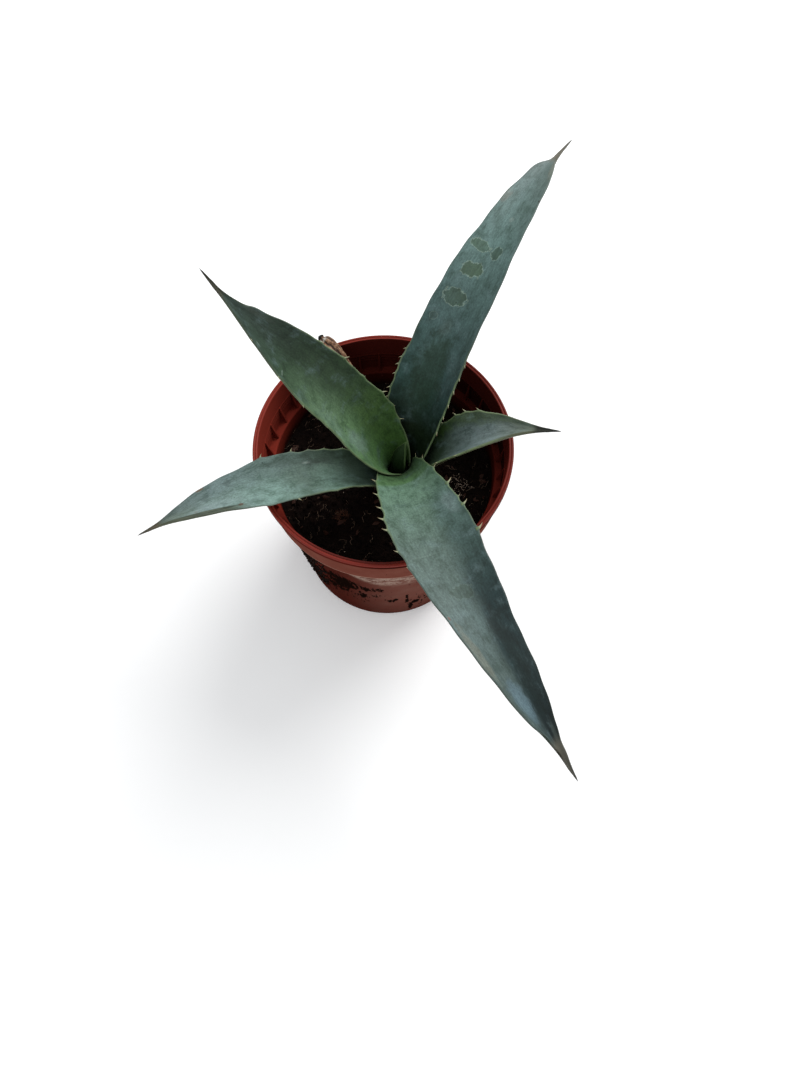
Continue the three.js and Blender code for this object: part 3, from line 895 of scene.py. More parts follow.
def leaf_mottling(finish, colour, patterns):
    """The patterns laid over the colour, and a dark speck in one cell out of five."""
    flat, _, *patterns = patterns
    for pattern, (share, contrast, middle) in zip(patterns, MOTTLING):
        colour = finish.mix(share, colour, (pattern - 0.5) * contrast + middle, "OVERLAY")
    cells = finish.node("ShaderNodeTexVoronoi", None, {"Vector": flat, "Scale": 0.2}, "Distance")
    chosen = finish.axis("X", Wire(finish, cells.socket.node.outputs["Color"])) > 0.8
    return finish.mix(cells.step(0.1, 0.05) * chosen * 0.7, colour, paint(30, 40, 32))


def leaf_turned_parts(finish, colour, look, patterns, along, across, under):
    """The olive strip where a margin folds over towards the tip, and the plain underside."""
    _, cloud, _, _, lines = patterns
    side, start, edge = look.get("fold", NO_FOLD)
    folded = (across * side + (along - 0.6) * 0.9).step(edge, edge + 0.08)
    folded = folded * along.step(start, start + 0.1)
    olive = finish.mix(lines.step(0.4, 0.6), paint(40, 44, 28), paint(84, 88, 64))
    colour = finish.mix(folded * 0.85, colour, olive)
    below = finish.mix(cloud, paint(*(v * 0.8 for v in look["below"])), paint(*look["below"]))
    return finish.mix(under.step(0.45, 0.55), colour, below)


# %% Horn and spine
def leaf_horn(finish, colour, look, patterns, along, rim):
    """The horn line on the margin, broken here and there, and the spine at the end."""
    _, cloud, blotch, grain, _ = patterns
    thin = along.step(look["horn"], look["horn"] - 0.22)
    broken = blotch.step(0.35, 0.6) * 0.5 + 0.5
    horn = (rim + (grain - 0.5) * 0.5).step(0.5, 0.1) * (thin * 0.6 + 0.2) * broken
    horn = horn * look.get("edge", 1)
    horny = finish.mix(thin, paint(64, 66, 50), finish.mix(
        cloud, paint(88, 108, 70), paint(126, 142, 104)))
    colour = finish.mix(horn * along.step(0.97, 0.9), colour, horny)
    spine = finish.ramp(along, [
        (look["spine"], paint(*look["tip"])), (1, paint(*(v * 0.6 for v in look["tip"])))])
    tip = (along + (grain - 0.5) * 0.02).step(look["spine"] - 0.02, look["spine"] + 0.015)
    return finish.mix(tip, colour, spine)


def horn_finish():
    """Teeth: green at the root, then cream horn, browner at the point."""
    finish = Finish("tooth_horn")
    grain = finish.noise(600, 2)
    colour = finish.ramp(finish.attribute("reach") + (grain - 0.5) * 0.2, [
        (0, paint(96, 112, 78)), (0.3, paint(146, 150, 118)), (0.8, paint(158, 148, 116)),
        (1, paint(110, 78, 54))])
    return finish.done(
        colour, grain * 0.2 + 0.4, finish.bump(grain, 0.1 * MM, 0.5), Specular_IOR_Level=0.3)


HORN = horn_finish()
print("horn:", len(HORN.node_tree.nodes), "nodes")


# %% The whole leaf's finish
def leaf_finish(name, look):
    """A waxy blade. The look gives the colours along it and where the bloom is thin."""
    finish = Finish(name + "_wax")
    length = LEAVES[name]["length"]
    along, across, rim, under = (
        finish.attribute(key) for key in ("along", "across", "rim", "under"))
    patterns = leaf_patterns(finish, length, across, along, under)
    _, cloud, blotch, grain, lines = patterns
    colour, painted_shade_flank = leaf_bloom(finish, look, patterns, along, across)
    colour = leaf_marks(finish, colour, patterns, length, look.get("marks", ()))
    colour = leaf_mottling(finish, colour, patterns)
    colour = leaf_turned_parts(finish, colour, look, patterns, along, across, under)
    colour = leaf_horn(finish, colour, look, patterns, along, rim)
    rough = 0.46 + cloud * 0.16 - painted_shade_flank * 0.05
    bumps = finish.bump(grain, 0.06 * MM, 0.5, finish.bump(lines, 0.12 * MM, 0.5))
    return finish.done(
        colour, rough, finish.bump(blotch, 0.45 * MM, 0.35, bumps), Specular_IOR_Level=0.3)


# %% [markdown]
# ## The five open leaves
# No two leaves have the same colours. The youngest is green because its bloom is still thin. The
# long one in front is pale and greyish, green at its foot, with painted shade along the side that
# lies to the right in the view. The one behind has painted shade at its steep foot, is pale where
# it arches over, and carries a few round scars. The one on the left is the palest, with painted
# shade at its foot and one margin folded over, and the short one on the right turns from painted
# near-black shade at its foot to grey. One finish could serve all five with its colours mixed at
# random, but these differences make the plant, so each leaf has a look of its own: colours along
# its lit flank and its flank in painted shade, where one gives way to the other, its horn and its
# spine, and its marks, a few of which are painted shade.

# %% How the two greener leaves look
LOOKS = {
    "leaf_inner": dict(
        bloom=[(0.0, (80, 116, 66)), (0.2, (84, 114, 76)), (0.4, (88, 113, 84)),
               (0.6, (47, 68, 47)), (0.8, (48, 64, 54)), (0.95, (56, 68, 60))],
        shade=[(0.0, (66, 98, 46)), (0.25, (63, 88, 47)), (0.4, (49, 69, 45)),
               (0.6, (36, 54, 36)), (0.85, (52, 67, 59))],
        side=1, split=(0.0, 0.4), frost=0.35, below=(82, 98, 74), horn=0.75,
        spine=0.9, tip=(62, 62, 47),
        marks=[(0.235, -0.47, (10, 3.5), (112, 134, 122), 0.6, 0),
               (0.34, -0.72, (26, 2.6), (104, 128, 118), 0.2, 0),
               (0.8, 0.75, (12, 3), (74, 84, 74), 0.5, 0),
               (0.623, -0.7, (0.6, 1.7), (130, 148, 136), 0.4, 0),
               (0.735, -0.72, (1.8, 0.9), (118, 134, 122), 0.4, 0)]),
    "leaf_right": dict(
        # The near-black colours at the foot are painted shade deep in the crown.
        bloom=[(0.0, (16, 27, 14)), (0.3, (46, 62, 45)), (0.45, (84, 98, 96)),
               (0.65, (106, 120, 119)), (0.85, (99, 108, 95))],
        shade=[(0.0, (18, 32, 13)), (0.33, (52, 74, 34)), (0.5, (70, 86, 64)),
               (0.9, (84, 96, 82))],
        side=-1, split=(0.62, 0.2), ragged=0.8, frost=0.35, below=(86, 90, 62), horn=0.85,
        edge=1.35, fold=(1, 0.7, 0.72), spine=0.875, tip=(38, 42, 32)),
}

# %% How the three blue-grey leaves look
LOOKS["leaf_front"] = dict(
    bloom=[(0.0, (56, 78, 48)), (0.118, (82, 114, 76)), (0.134, (94, 122, 102)),
           (0.4, (77, 95, 87)), (0.6, (76, 94, 91)), (0.75, (70, 84, 80)), (0.88, (64, 80, 79))],
    shade=[(0.0, (60, 84, 56)), (0.11, (78, 106, 76)), (0.13, (90, 116, 96)),
           (0.3, (70, 91, 84)), (0.48, (44, 62, 59)), (0.58, (23, 42, 42)), (0.72, (29, 46, 46)),
           (0.85, (20, 33, 33))],
    side=-1, split=(0.15, 0.3), drift=0.9, wander=0.03, slant=-0.016, frost=0.3,
    below=(84, 98, 88), horn=0.5, spine=0.885, tip=(95, 93, 81),
    # The first three marks are painted shade: a dark band down the flank that lies to the right in
    # the view, and the edge of the shade near the tip.
    marks=[(0.7, -0.4, (30, 4.5), (18, 32, 29), 0.6, 0),
           (0.62, -0.35, (8, 4), (20, 36, 34), 0.4, 0),
           (0.84, 0.35, (10, 4), (28, 42, 42), 0.5, 0),
           (0.875, -0.6, (8, 4), (74, 84, 78), 0.5, 0),
           (0.29, -0.78, (9, 3), (106, 124, 122), 0.55, 0),
           (0.525, 0.08, (4, 5), (50, 66, 54), 0.6, 0.1),
           (0.655, 0.85, (15, 2.4), (110, 114, 102), 0.6, 0),
           (0.775, 0.4, (12, 5.5), (90, 112, 120), 0.75, 0),
           (0.418, 0.5, (0.6, 5), (96, 116, 106), 0.4, 0),
           (0.568, 0.93, (1.2, 0.8), (104, 60, 50), 0.7, 0)])
LOOKS["leaf_back"] = dict(
    # The colours up to 0.13 along are painted shade at the steep foot, deep in the crown.
    bloom=[(0.0, (16, 28, 12)), (0.13, (18, 31, 15)), (0.25, (44, 72, 66)), (0.4, (64, 88, 85)),
           (0.6, (88, 113, 108)), (0.8, (88, 107, 104)), (0.92, (86, 98, 95))],
    shade=[(0.0, (15, 27, 12)), (0.13, (17, 30, 15)), (0.25, (40, 64, 62)), (0.6, (80, 104, 99)),
           (0.9, (82, 96, 91))],
    side=1, split=(0.1, 0.5), frost=0.25, below=(80, 96, 88), horn=0.45,
    edge=1.3, spine=0.885, tip=(96, 92, 78),
    marks=[(0.27, -0.1, (24, 8), (30, 52, 34), 0.6, 0),
           (0.385, -0.17, (4, 3), (84, 104, 100), 0.4, 0),
           (0.457, -0.35, (4.4, 6), (56, 75, 56), 0.9, 0.6),
           (0.531, -0.3, (4, 6), (66, 86, 66), 0.9, 0.6),
           (0.59, -0.5, (3, 6.4), (66, 88, 70), 0.85, 0.6),
           (0.586, 0.23, (3.6, 3.2), (46, 66, 50), 0.9, 0.5),
           (0.399, -0.7, (1.9, 1.9), (66, 84, 78), 0.3, 0.4),
           (0.675, 0.05, (1.4, 1.6), (118, 134, 128), 0.5, 0),
           (0.73, -0.9, (5, 3), (112, 114, 106), 0.5, 0),
           (0.735, 0.97, (0.9, 1), (26, 32, 28), 0.8, 0),
           (0.85, 0.85, (9, 4), (110, 112, 98), 0.5, 0)])
LOOKS["leaf_left"] = dict(
    # The darkest colours, at the foot, are painted shade deep in the crown.
    bloom=[(0.0, (32, 46, 36)), (0.2, (76, 98, 84)), (0.3, (112, 140, 126)),
           (0.39, (98, 121, 108)), (0.5, (121, 149, 139)), (0.72, (126, 146, 141)),
           (0.83, (108, 122, 112)), (0.92, (90, 96, 86))],
    shade=[(0.0, (26, 38, 28)), (0.2, (42, 57, 44)), (0.3, (74, 96, 82)), (0.7, (112, 132, 130)),
           (0.9, (92, 104, 97))],
    side=1, split=(0.2, 0.5), frost=0.3, below=(92, 98, 74), horn=0.5, fold=(-1, 0.56, 0.68),
    spine=0.9, tip=(92, 86, 68),
    marks=[(0.608, -0.74, (1.2, 1.2), (104, 58, 40), 0.7, 0),
           (0.757, -0.42, (1.3, 1), (110, 76, 52), 0.6, 0),
           (0.727, 0.97, (2.2, 1), (118, 88, 56), 0.7, 0),
           (0.36, 0.53, (2.4, 0.7), (160, 174, 166), 0.6, 0),
           (0.635, 0.62, (2, 3), (76, 92, 88), 0.5, 0),
           (0.7, -0.4, (15, 4), (148, 166, 166), 0.35, 0),
           # The next two marks are painted shadow that the inner leaf casts on this leaf's upper
           # margin.
           (0.4, 0.7, (14, 5), (60, 76, 68), 0.45, 0),
           (0.29, 0.8, (11, 6), (44, 58, 48), 0.7, 0),
           (0.715, 0.28, (2.5, 3), (80, 96, 92), 0.4, 0)])
print("marks on the leaves:", sum(len(look.get("marks", ())) for look in LOOKS.values()))


# %% The stem's room
def stem_profile(grow=0.0):
    """Radius and height up the stem, from its foot in the soil to its top under the bud."""
    return [(5.2 + grow, 66 - grow), (9.5 + grow, 75), (9.5 + grow, 99),
            (6.4 + grow, 104 + grow / 2), (5 + grow, 109 + grow)]


def turned_solid(name, profile, segments, place, materials=()):
    """A closed solid of revolution on an upright axis."""
    rings = [[(place[0] + r * math.cos(a), place[1] + r * math.sin(a), z)
              for a in circle(segments)] for r, z in profile]
    foot, top = ((*place, profile[end][1]) for end in (0, -1))
    return closed_tube(name, rings, foot, top, materials)


younger = [turned_solid("stem_room", stem_profile(GAP), 48, CROWN)]
print("the stem ends at", stem_profile()[-1][1], "mm")

# %% Growing the leaves, the youngest first
FIRST_SEED = 3
open_leaves = {}
for seed, (name, leaf) in enumerate(LEAVES.items(), FIRST_SEED):
    finish = leaf_finish(name, LOOKS[name])
    open_leaves[name] = grow_leaf(name, leaf, seed, finish, HORN, younger)
    younger.append(rooms[name])

# %% [markdown]
# ## Bud and stem
# In the heart the next leaves are still rolled round each other. One has begun to open towards the
# viewer, so its two pale margins show, with the rolled spear of the next one inside. A smooth cone
# would do from afar, but the step where the outer margin lies on the roll is what tells a furled
# leaf from a thorn, so the spear's section is a spiral. Under them is the short stem, ringed with
# the scars of leaves that were pulled away.

# %% The bud's finish
def bud_finish():
    """Dark wet-looking green with a pale line on every margin."""
    finish = Finish("bud_green")
    along = finish.attribute("along")
    streaks = finish.noise(1, 3, 0.5, finish.vector(along * 3, finish.attribute("across") * 20, 0))
    colour = finish.ramp(along + (streaks - 0.5) * 0.3, [
        (0, paint(14, 24, 10)), (0.45, paint(26, 42, 20)), (1, paint(50, 68, 42))])
    edge = finish.attribute("rim").step(0.7, 0.25)
    colour = finish.mix(edge * along.step(0.2, 0.5) * 0.8, colour, paint(96, 118, 74))
    return finish.done(colour, streaks * 0.2 + 0.36, finish.bump(streaks, 0.2 * MM, 0.5),
                       Specular_IOR_Level=0.3)


BUD_GREEN = bud_finish()
print("bud finish:", len(BUD_GREEN.node_tree.nodes), "nodes")

# %% The spear and the leaf that opens round it
BUD_FOOT = 109.3
BUD_TIP = (13.8, -0.2, 142)
SPEAR_RADIUS = 2.8
SPEAR_TURN = math.radians(-60)
SPEAR_PLACES = (0, 0.15, 0.35, 0.6, 0.8, 0.93, 1)
SPEAR_SHARES = (0.85, 1, 0.92, 0.62, 0.32, 0.13, 0.02)
BUD_LEAF = dict(
    length=33.4, base=(3.7, 110.5), heading=(237, -58), rise=(90.5, 26, 0), roll=(18, -53),
    curl=(0.8, 0.8, 1, 1.66), thick=1.1, sheath=BUD_FOOT,
    half_widths=(4.9, 5.4, 5.4, 5, 4.4, 3.3, 1.7, 0.65, 0), right=(), left=())


def spear_mesh(name, foot, tip):
    """A leaf rolled tight: its section is a spiral, and the step in it is the outer margin."""
    rows, sides = 60, 64
    foot, tip = np.array(foot), np.array(tip)
    rings, marks = [], {"along": [], "across": [], "rim": []}
    for t in np.arange(rows) / (rows - 1) * 0.985:
        r = SPEAR_RADIUS * smooth_through(SPEAR_PLACES, SPEAR_SHARES, np.array([t]))[0]
        ring = []
        for w in np.arange(sides) / (sides - 1):
            a = SPEAR_TURN + TURN * w + 0.9 * t
            reach = r * (0.82 + 0.18 * w) * (1 + 0.05 * math.cos(2 * a))
            ring.append(foot + (tip - foot) * t + reach * np.array((math.cos(a), math.sin(a), 0)))
            for key, value in (("along", t), ("across", w), ("rim", (1 - w) * TURN * r)):
                marks[key].append(value)
        rings.append(ring)
    marks = {key: values + [values[0], 1] for key, values in marks.items()}
    return closed_tube(name, rings, foot, tip, [BUD_GREEN], marks)


spear = spear_mesh("bud_spear", (*CROWN, BUD_FOOT), BUD_TIP)
opening = blade_mesh("bud_leaf", BUD_LEAF, 11, materials=[BUD_GREEN])
print("bud:", len(spear.data.polygons) + len(opening.data.polygons), "faces")


# %% The stem with its scars
SCAR_WAVES = 2600


def stem_finish():
    """Dry leaf scars in rings, and painted dark green shade where the leaves spring."""
    finish = Finish("leaf_scars")
    height = finish.axis("Z")
    cloud = finish.noise(160, 4, 0.6)
    scars = (height * SCAR_WAVES + cloud * 5).maths("SINE")
    colour = finish.mix(scars * 0.5 + 0.5, paint(120, 112, 80), paint(74, 60, 42))
    colour = finish.mix(cloud.step(0.45, 0.7) * 0.6, colour, paint(150, 142, 108))
    # Painted shade near the top, under the leaves.
    colour = finish.mix(height.step(101 * MM, 104 * MM), colour, paint(16, 24, 12))
    return finish.done(colour, 0.8, finish.bump(cloud + scars * 0.2, 0.6 * MM, 0.8),
                       Specular_IOR_Level=0.2)


def stem_mesh(finish):
    """Turned from a wavy profile, then made uneven, so that the scars run round it."""
    radii, heights = zip(*stem_profile())
    fine = np.linspace(heights[0], heights[-1], 90)
    radii = np.interp(fine, heights, radii) - 0.35 * np.abs(np.sin(fine * 1.3))
    piece = turned_solid("stem_fine", list(zip(radii, fine)), 96, CROWN, [finish])
    for vertex in piece.data.vertices:
        away = vertex.co.xy - Vector(CROWN) * MM
        vertex.co.xy -= away * 0.06 * abs(noise.noise(vertex.co * 160))
    return piece


stem = stem_mesh(stem_finish())
print("stem:", len(stem.data.polygons), "faces")

# %% [markdown]
# ## The withered leaf
# The oldest leaf has dried to a crumpled tan strap with a blackened end, lying back over the lip.
# A blade crushed by simulated cloth would crumple too, but it is slow and hard to steer, and a dry
# leaf shrinks into sharp folds that run along it. So a tube drawn along its bend is folded by
# waves round its section and crumpled by noise. Painted shade lies in the hollows of the folds.

# %% The withered leaf's shape
WITHERED_PATH = ((4, 14, 104), (-1, 26, 109), (-9, 40, 119), (-17, 53, 131.5), (-24.3, 62, 141),
                 (-30, 67.5, 144.6), (-35.5, 71.5, 146))
WITHERED_WIDTHS = (5, 5.2, 4.6, 3.4, 3.7, 3.6, 1.7)
WITHERED_DEPTHS = (1.6, 1.8, 2, 2.2, 2.2, 2.1, 1.6)
print("the withered leaf rises from", WITHERED_PATH[0][2], "to", WITHERED_PATH[-1][2], "mm")


def withered_fold(t, a):
    """How far the folds stand out at a place along the leaf and an angle round it."""
    rumple = noise.noise((t * 14, math.cos(a) * 1.6, math.sin(a) * 1.6))
    broad = math.cos(5 * a + 3 * math.sin(4 * t)) + 0.6 * rumple
    return broad + 0.35 * math.cos(11 * a + 5 * math.sin(9 * t))


def withered_mesh(finish):
    """A tube on the leaf's bend, narrowed before its end and rounded off there."""
    rows, sides = 150, 72
    stations = np.linspace(0, 1, len(WITHERED_PATH))
    t = np.linspace(0, 1, rows)
    centre = np.stack([smooth_through(stations, [p[k] for p in WITHERED_PATH], t)
                       for k in range(3)], 1)
    ahead = np.gradient(centre, axis=0)
    ahead /= np.linalg.norm(ahead, axis=1)[:, None]
    side = np.stack([ahead[:, 1], -ahead[:, 0], 0 * t], 1)
    side /= np.linalg.norm(side, axis=1)[:, None]
    up = np.cross(side, ahead)
    neck = 1 - 0.42 * np.exp(-(((t - 0.93) / 0.02) ** 2))
    wide = smooth_through(stations, WITHERED_WIDTHS, t) * 0.95 * neck
    deep = smooth_through(stations, WITHERED_DEPTHS, t) * 0.95 * neck
    rings, folds = [], []
    for k in range(rows):
        close = math.sqrt(max(0.02, 1 - max(0, (t[k] - 0.955) / 0.045) ** 2))
        ring = []
        for a in circle(sides):
            folds.append(withered_fold(t[k], a))
            crumple = 1 + 0.17 * folds[-1] * close
            ring.append(centre[k] + close * (side[k] * wide[k] * crumple * math.cos(a)
                                             + up[k] * deep[k] * crumple * math.sin(a)))
        rings.append(ring)
    marks = {"along": [*np.repeat(t, sides), 0, 1], "fold": [*folds, 0, 0]}
    tip = centre[-1] + ahead[-1] * 0.2
    return closed_tube("leaf_withered_fine", rings, centre[0], tip, [finish], marks)


# %% The withered leaf's finish
def withered_finish():
    """Tan and papery, with painted shade in its folds, pale before its blackened end."""
    finish = Finish("dry_leaf")
    along, fold = finish.attribute("along"), finish.attribute("fold")
    cloud = finish.noise(260, 4, 0.65)
    fibre = finish.noise(1, 3, 0.6, finish.vector(along * 30, fold * 6, 0))
    colour = finish.ramp(cloud * 0.6 + fibre * 0.4, [
        (0.38, paint(50, 30, 20)), (0.5, paint(122, 88, 64)), (0.6, paint(176, 144, 116))])
    # Painted shade in the hollows of the folds.
    colour = finish.mix(fold.step(0, -0.8) * 0.9, colour, paint(36, 20, 13))
    pale = along.step(0.86, 0.89) * along.step(0.95, 0.92)
    colour = finish.mix(pale * (cloud - 0.1).step(0.3, 0.5) * 0.8, colour, paint(182, 180, 170))
    black = (along + (cloud - 0.5) * 0.03).step(0.94, 0.955)
    colour = finish.mix(black, colour, paint(14, 18, 12))
    return finish.done(colour, 0.75, finish.bump(fibre + cloud, 0.5 * MM, 0.7),
                       Specular_IOR_Level=0.25)


withered = withered_mesh(withered_finish())
cut_by(withered, younger)
keep_largest_body(withered)
print("withered leaf:", len(withered.data.polygons), "faces")

# %% [markdown]
# ## The pot
# A thin nursery pot is moulded in one piece: a plain tapering wall, a wider collar with a beaded
# lip, and inside the collar a ledge with stiffening ribs all the way round. It could be one Spin
# of a drawn outline with the ribs added by hand, but its shape follows two rules, a profile turned
# about an axis and a rib repeated every ten degrees, so Geometry Nodes make both. The drain holes
# are then cut through the floor.

# %% The pot's sizes
POT_HEIGHT = 140
LIP = 75
LIP_FOOT = 135.8
LEDGE = 112
LEDGE_EDGE = 66.5
LEDGE_ROUNDING = 1.1
BASE = 57.5
POT_WALL = 1.3
POT_FLOOR = 2.4
COLLAR_FOOT = LEDGE - POT_WALL
BODY_TAPER = 0.0921
COLLAR_TAPER = 0.0717
RIBS = 36
ROUND_STEPS = 288
DRAINS = 6
DRAIN_CIRCLE = 40
DRAIN_RADIUS = 6

# Each corner of the profile: its distance from the axis, its height and the radius of its rounding.
UNDERSIDE = ((0, 0.9, 0), (51, 0.9, 0.4), (52, 0, 0.4), (BASE, 0, 1.6))
COLLAR = ((67.8, COLLAR_FOOT, 0.5), (71.5, COLLAR_FOOT, 0.7), (73.4, LIP_FOOT, 0.3))
LIP_BEAD = ((LIP, LIP_FOOT, 0.6), (LIP, POT_HEIGHT, 0.9), (73.75, POT_HEIGHT, 0.35),
            (73.55, 139.45, 0.12), (73.3, 139.45, 0.12), (73.1, 139.95, 0.3), (72.1, 139.95, 0.6))
GROOVES = (
    (71.2, 125.9, 0.1), (70.8, 125.7, 0.15), (70.75, 124.7, 0.15), (71.1, 124.5, 0.1),
    (71.05, 123.4, 0.1), (70.7, 123.2, 0.15), (70.65, 122.2, 0.15), (71, 122, 0.1),
    (70.95, 120.9, 0.1), (70.6, 120.7, 0.15), (70.55, 119.7, 0.15), (70.9, 119.5, 0.1))
INSIDE = ((70.6, LEDGE, 0.9), (LEDGE_EDGE, LEDGE, LEDGE_ROUNDING),
          (BASE - POT_WALL, POT_FLOOR, 2), (0, POT_FLOOR, 0))
POT_CORNERS = UNDERSIDE + COLLAR + LIP_BEAD + GROOVES + INSIDE
print("pot:", POT_HEIGHT, "mm tall,", 2 * LIP, "mm across its lip, with", RIBS, "ribs")


# %% The profile with its corners rounded
def profile_points(corners, arc=5):
    """The corners in order, each one with a radius rounded by a few points."""
    points = []
    for i, (r, z, radius) in enumerate(corners):
        if radius == 0:
            points.append((r, 0, z))
            continue
        here = np.array([r, z])
        before, after = (np.array(corners[i + d][:2]) - here for d in (-1, 1))
        a, b = (here + v / np.linalg.norm(v) * min(radius, np.linalg.norm(v) * 0.48)
                for v in (before, after))
        for t in np.linspace(0, 1, arc):
            p = (1 - t) ** 2 * a + 2 * t * (1 - t) * here + t * t * b
            points.append((p[0], 0, p[1]))
    return points


profile = profile_points(POT_CORNERS)
print("profile:", len(POT_CORNERS), "corners,", len(profile), "points")


# %% The turning tree
def turning_tree():
    """Turns a profile about the upright axis and stands ribs evenly round it."""
    garden = Garden(
        "turned_pot", Segments="Int", Rib="Object", Ribs="Int", Finish="Material")
    profile = garden.given("Shape")
    count = garden.node("GeometryNodeAttributeDomainSize", None, {0: profile})
    sheet = garden.node("GeometryNodeMeshGrid", None, {
        "Size X": 1.0, "Size Y": 1.0, "Vertices X": count,
        "Vertices Y": garden.given("Segments") + 1}, "Mesh")
    flat = garden.node("GeometryNodeInputPosition")
    row = (garden.axis("X", flat) + 0.5) * (count - 1)
    angle = (garden.axis("Y", flat) + 0.5) * TURN
    corner = garden.node(
        "GeometryNodeSampleIndex", {"data_type": "FLOAT_VECTOR"},
        {"Geometry": profile, "Value": flat, "Index": row.maths("ROUND")})
    radius, height = garden.axis("X", corner), garden.axis("Z", corner)
    turned = garden.vector(
        radius * angle.maths("COSINE"), radius * angle.maths("SINE"), height)
    wall = garden.node("GeometryNodeSetPosition", None, {"Geometry": sheet, "Position": turned})
    wall = garden.node("GeometryNodeMergeByDistance", None, {"Geometry": wall, "Distance": 1e-6})

    steps = garden.node("GeometryNodeMeshLine", None, {
        "Count": garden.given("Ribs"), "Offset": (0, 0, 0)})
    turn = garden.node("GeometryNodeInputIndex") * TURN / garden.given("Ribs")
    rib = garden.node("GeometryNodeObjectInfo", None, {"Object": garden.given("Rib")}, "Geometry")
    ribs = garden.node("GeometryNodeInstanceOnPoints", None, {
        "Points": steps, "Instance": rib, "Rotation": garden.vector(0, 0, turn)})
    whole = garden.node("GeometryNodeJoinGeometry", None, {0: [wall, ribs]})
    whole = garden.node("GeometryNodeRealizeInstances", None, {0: whole})
    return garden.finish(garden.node("GeometryNodeSetMaterial", None, {
        "Geometry": whole, "Material": garden.given("Finish")}))


TURNING = turning_tree()
print("turning tree:", len(TURNING.nodes), "nodes")

# %% One rib
RIB_OUTLINE = ((67.2, LEDGE - 0.6), (70.9, LEDGE - 0.6), (71.6, 126.2), (70.5, 126.2),
               (69.4, 120.5), (68.1, 115))
RIB_HALF = 0.72
RIB_ROUNDING = 0.22


def rib_mesh():
    """A triangular plate from the ledge's inner edge up to its point on the collar."""
    points = [(r, y, z) for y in (-RIB_HALF, RIB_HALF) for r, z in RIB_OUTLINE]
    n = len(RIB_OUTLINE)
    faces = [tuple(range(n)), tuple(range(2 * n - 1, n - 1, -1))]
    faces += [(j, (j + 1) % n, n + (j + 1) % n, n + j) for j in range(n)]
    rib = mesh_piece("rib", points, faces)
    shape = bmesh.new()
    shape.from_mesh(rib.data)
    bmesh.ops.recalc_face_normals(shape, faces=shape.faces)
    free = [edge for edge in shape.edges if min(v.co.z for v in edge.verts) > (LEDGE - 0.5) * MM
            or abs(edge.verts[0].co.y - edge.verts[1].co.y) < 1e-6]
    bmesh.ops.bevel(shape, geom=free, offset=RIB_ROUNDING * MM, segments=2, affect="EDGES")
    shape.to_mesh(rib.data)
    shape.free()
    return rib


rib = rib_mesh()
print("one rib:", len(rib.data.polygons), "faces")

# %% [markdown]
# ### The pot's plastic
# The pot has been handled and watered. Inside the collar its plastic is still red and darker low
# down, with painted shade in the grooves, at the back, on the right and between the ribs there, and
# painted light on the left. Outside it is dusty, with painted shade on the left and at the foot, a
# pale band under the collar that stacked pots rub, and soil splashed on its left. A picture could
# be wrapped round it, but it would blur close up and keep the light it was taken in. Instead, masks
# worked out from each point's place, height and distance from the axis say where each layer lies,
# and noise breaks them up.


# %% The zones of the pot
class PotFinish(Finish):
    """Red plastic: where its zones are and the patterns that break up its layers."""

    def __init__(self):
        super().__init__("red_plastic")
        self.x, self.y, self.z = (self.axis(name) for name in "XYZ")
        self.out = self.length(self.vector(self.x, self.y, 0))
        self.cloud = self.noise(22, 4, 0.6)
        self.blotch = self.noise(70, 5, 0.65)
        self.grit = self.noise(520, 3, 0.6)
        self.swirl = self.noise(1, 5, 0.7, self.vector(self.x * 150, self.y * 150, self.z * 230))
        upper = self.step("z", 110.85, 110.95)
        wall = self.out - self.z * BODY_TAPER
        self.collar = (self.out - self.z * COLLAR_TAPER).step(62.8 * MM, 62.95 * MM) * upper
        self.body = wall.step(57.0 * MM, 57.35 * MM) * (1 - upper)
        self.outside = self.step("z", 136, 135.2) * (self.collar + self.body)
        self.inside = 1 - self.outside
        self.low_inside = self.step("z", 111.6, 110.4) * self.inside

    def step(self, name, low, high):
        """A step from 0 to 1 along x, y, z or out from the axis, with its ends in millimetres."""
        return getattr(self, name).step(low * MM, high * MM)


# %% The plastic inside and on the lip
GROOVE_SHADE_WAVES = 2618


def pot_inside(pot):
    """Red plastic, darker low down; painted shade in its grooves, at the back and right; painted
    light at left.
    """
    colour = pot.mix(pot.cloud, paint(110, 37, 29), paint(132, 49, 39))
    # Darker low down, towards the soil.
    colour = pot.mix(pot.low_inside, colour, pot.mix(
        pot.step("z", 109, 99), paint(94, 30, 22), paint(30, 13, 9)))
    # Painted shade: dark lines in the shallow grooves of the collar's inner wall.
    rings = (pot.z * GROOVE_SHADE_WAVES).maths("SINE").step(0, 0.7) * pot.step("z", 126.3, 125.8)
    rings = rings * pot.step("z", 119, 119.5) * pot.inside * pot.step("out", 70.2, 70.4)
    colour = pot.mix(rings * 0.5, colour, paint(44, 12, 9))
    # Painted shade on the inner wall towards the back.
    painted_back_shade = (pot.x * 0.35 + pot.y).step(0, 45 * MM) * pot.step("out", 72.4, 72)
    colour = pot.mix(painted_back_shade * 0.75, colour, paint(30, 10, 7))
    # Painted light on the left inner wall and painted shade on the right one.
    colour = pot.mix(pot.step("x", -50, -70) * 0.24, colour, paint(156, 64, 48))
    colour = pot.mix(pot.step("x", 30, 66) * 0.3, colour, paint(44, 14, 10))
    # Painted shade in the hollows between the ribs on the right.
    painted_rib_shade = pot.step("out", 70.3, 70.5) * pot.step("z", 126, 125) * pot.inside
    return pot.mix(painted_rib_shade * pot.step("x", 10, 56) * 0.7, colour, paint(20, 7, 5))


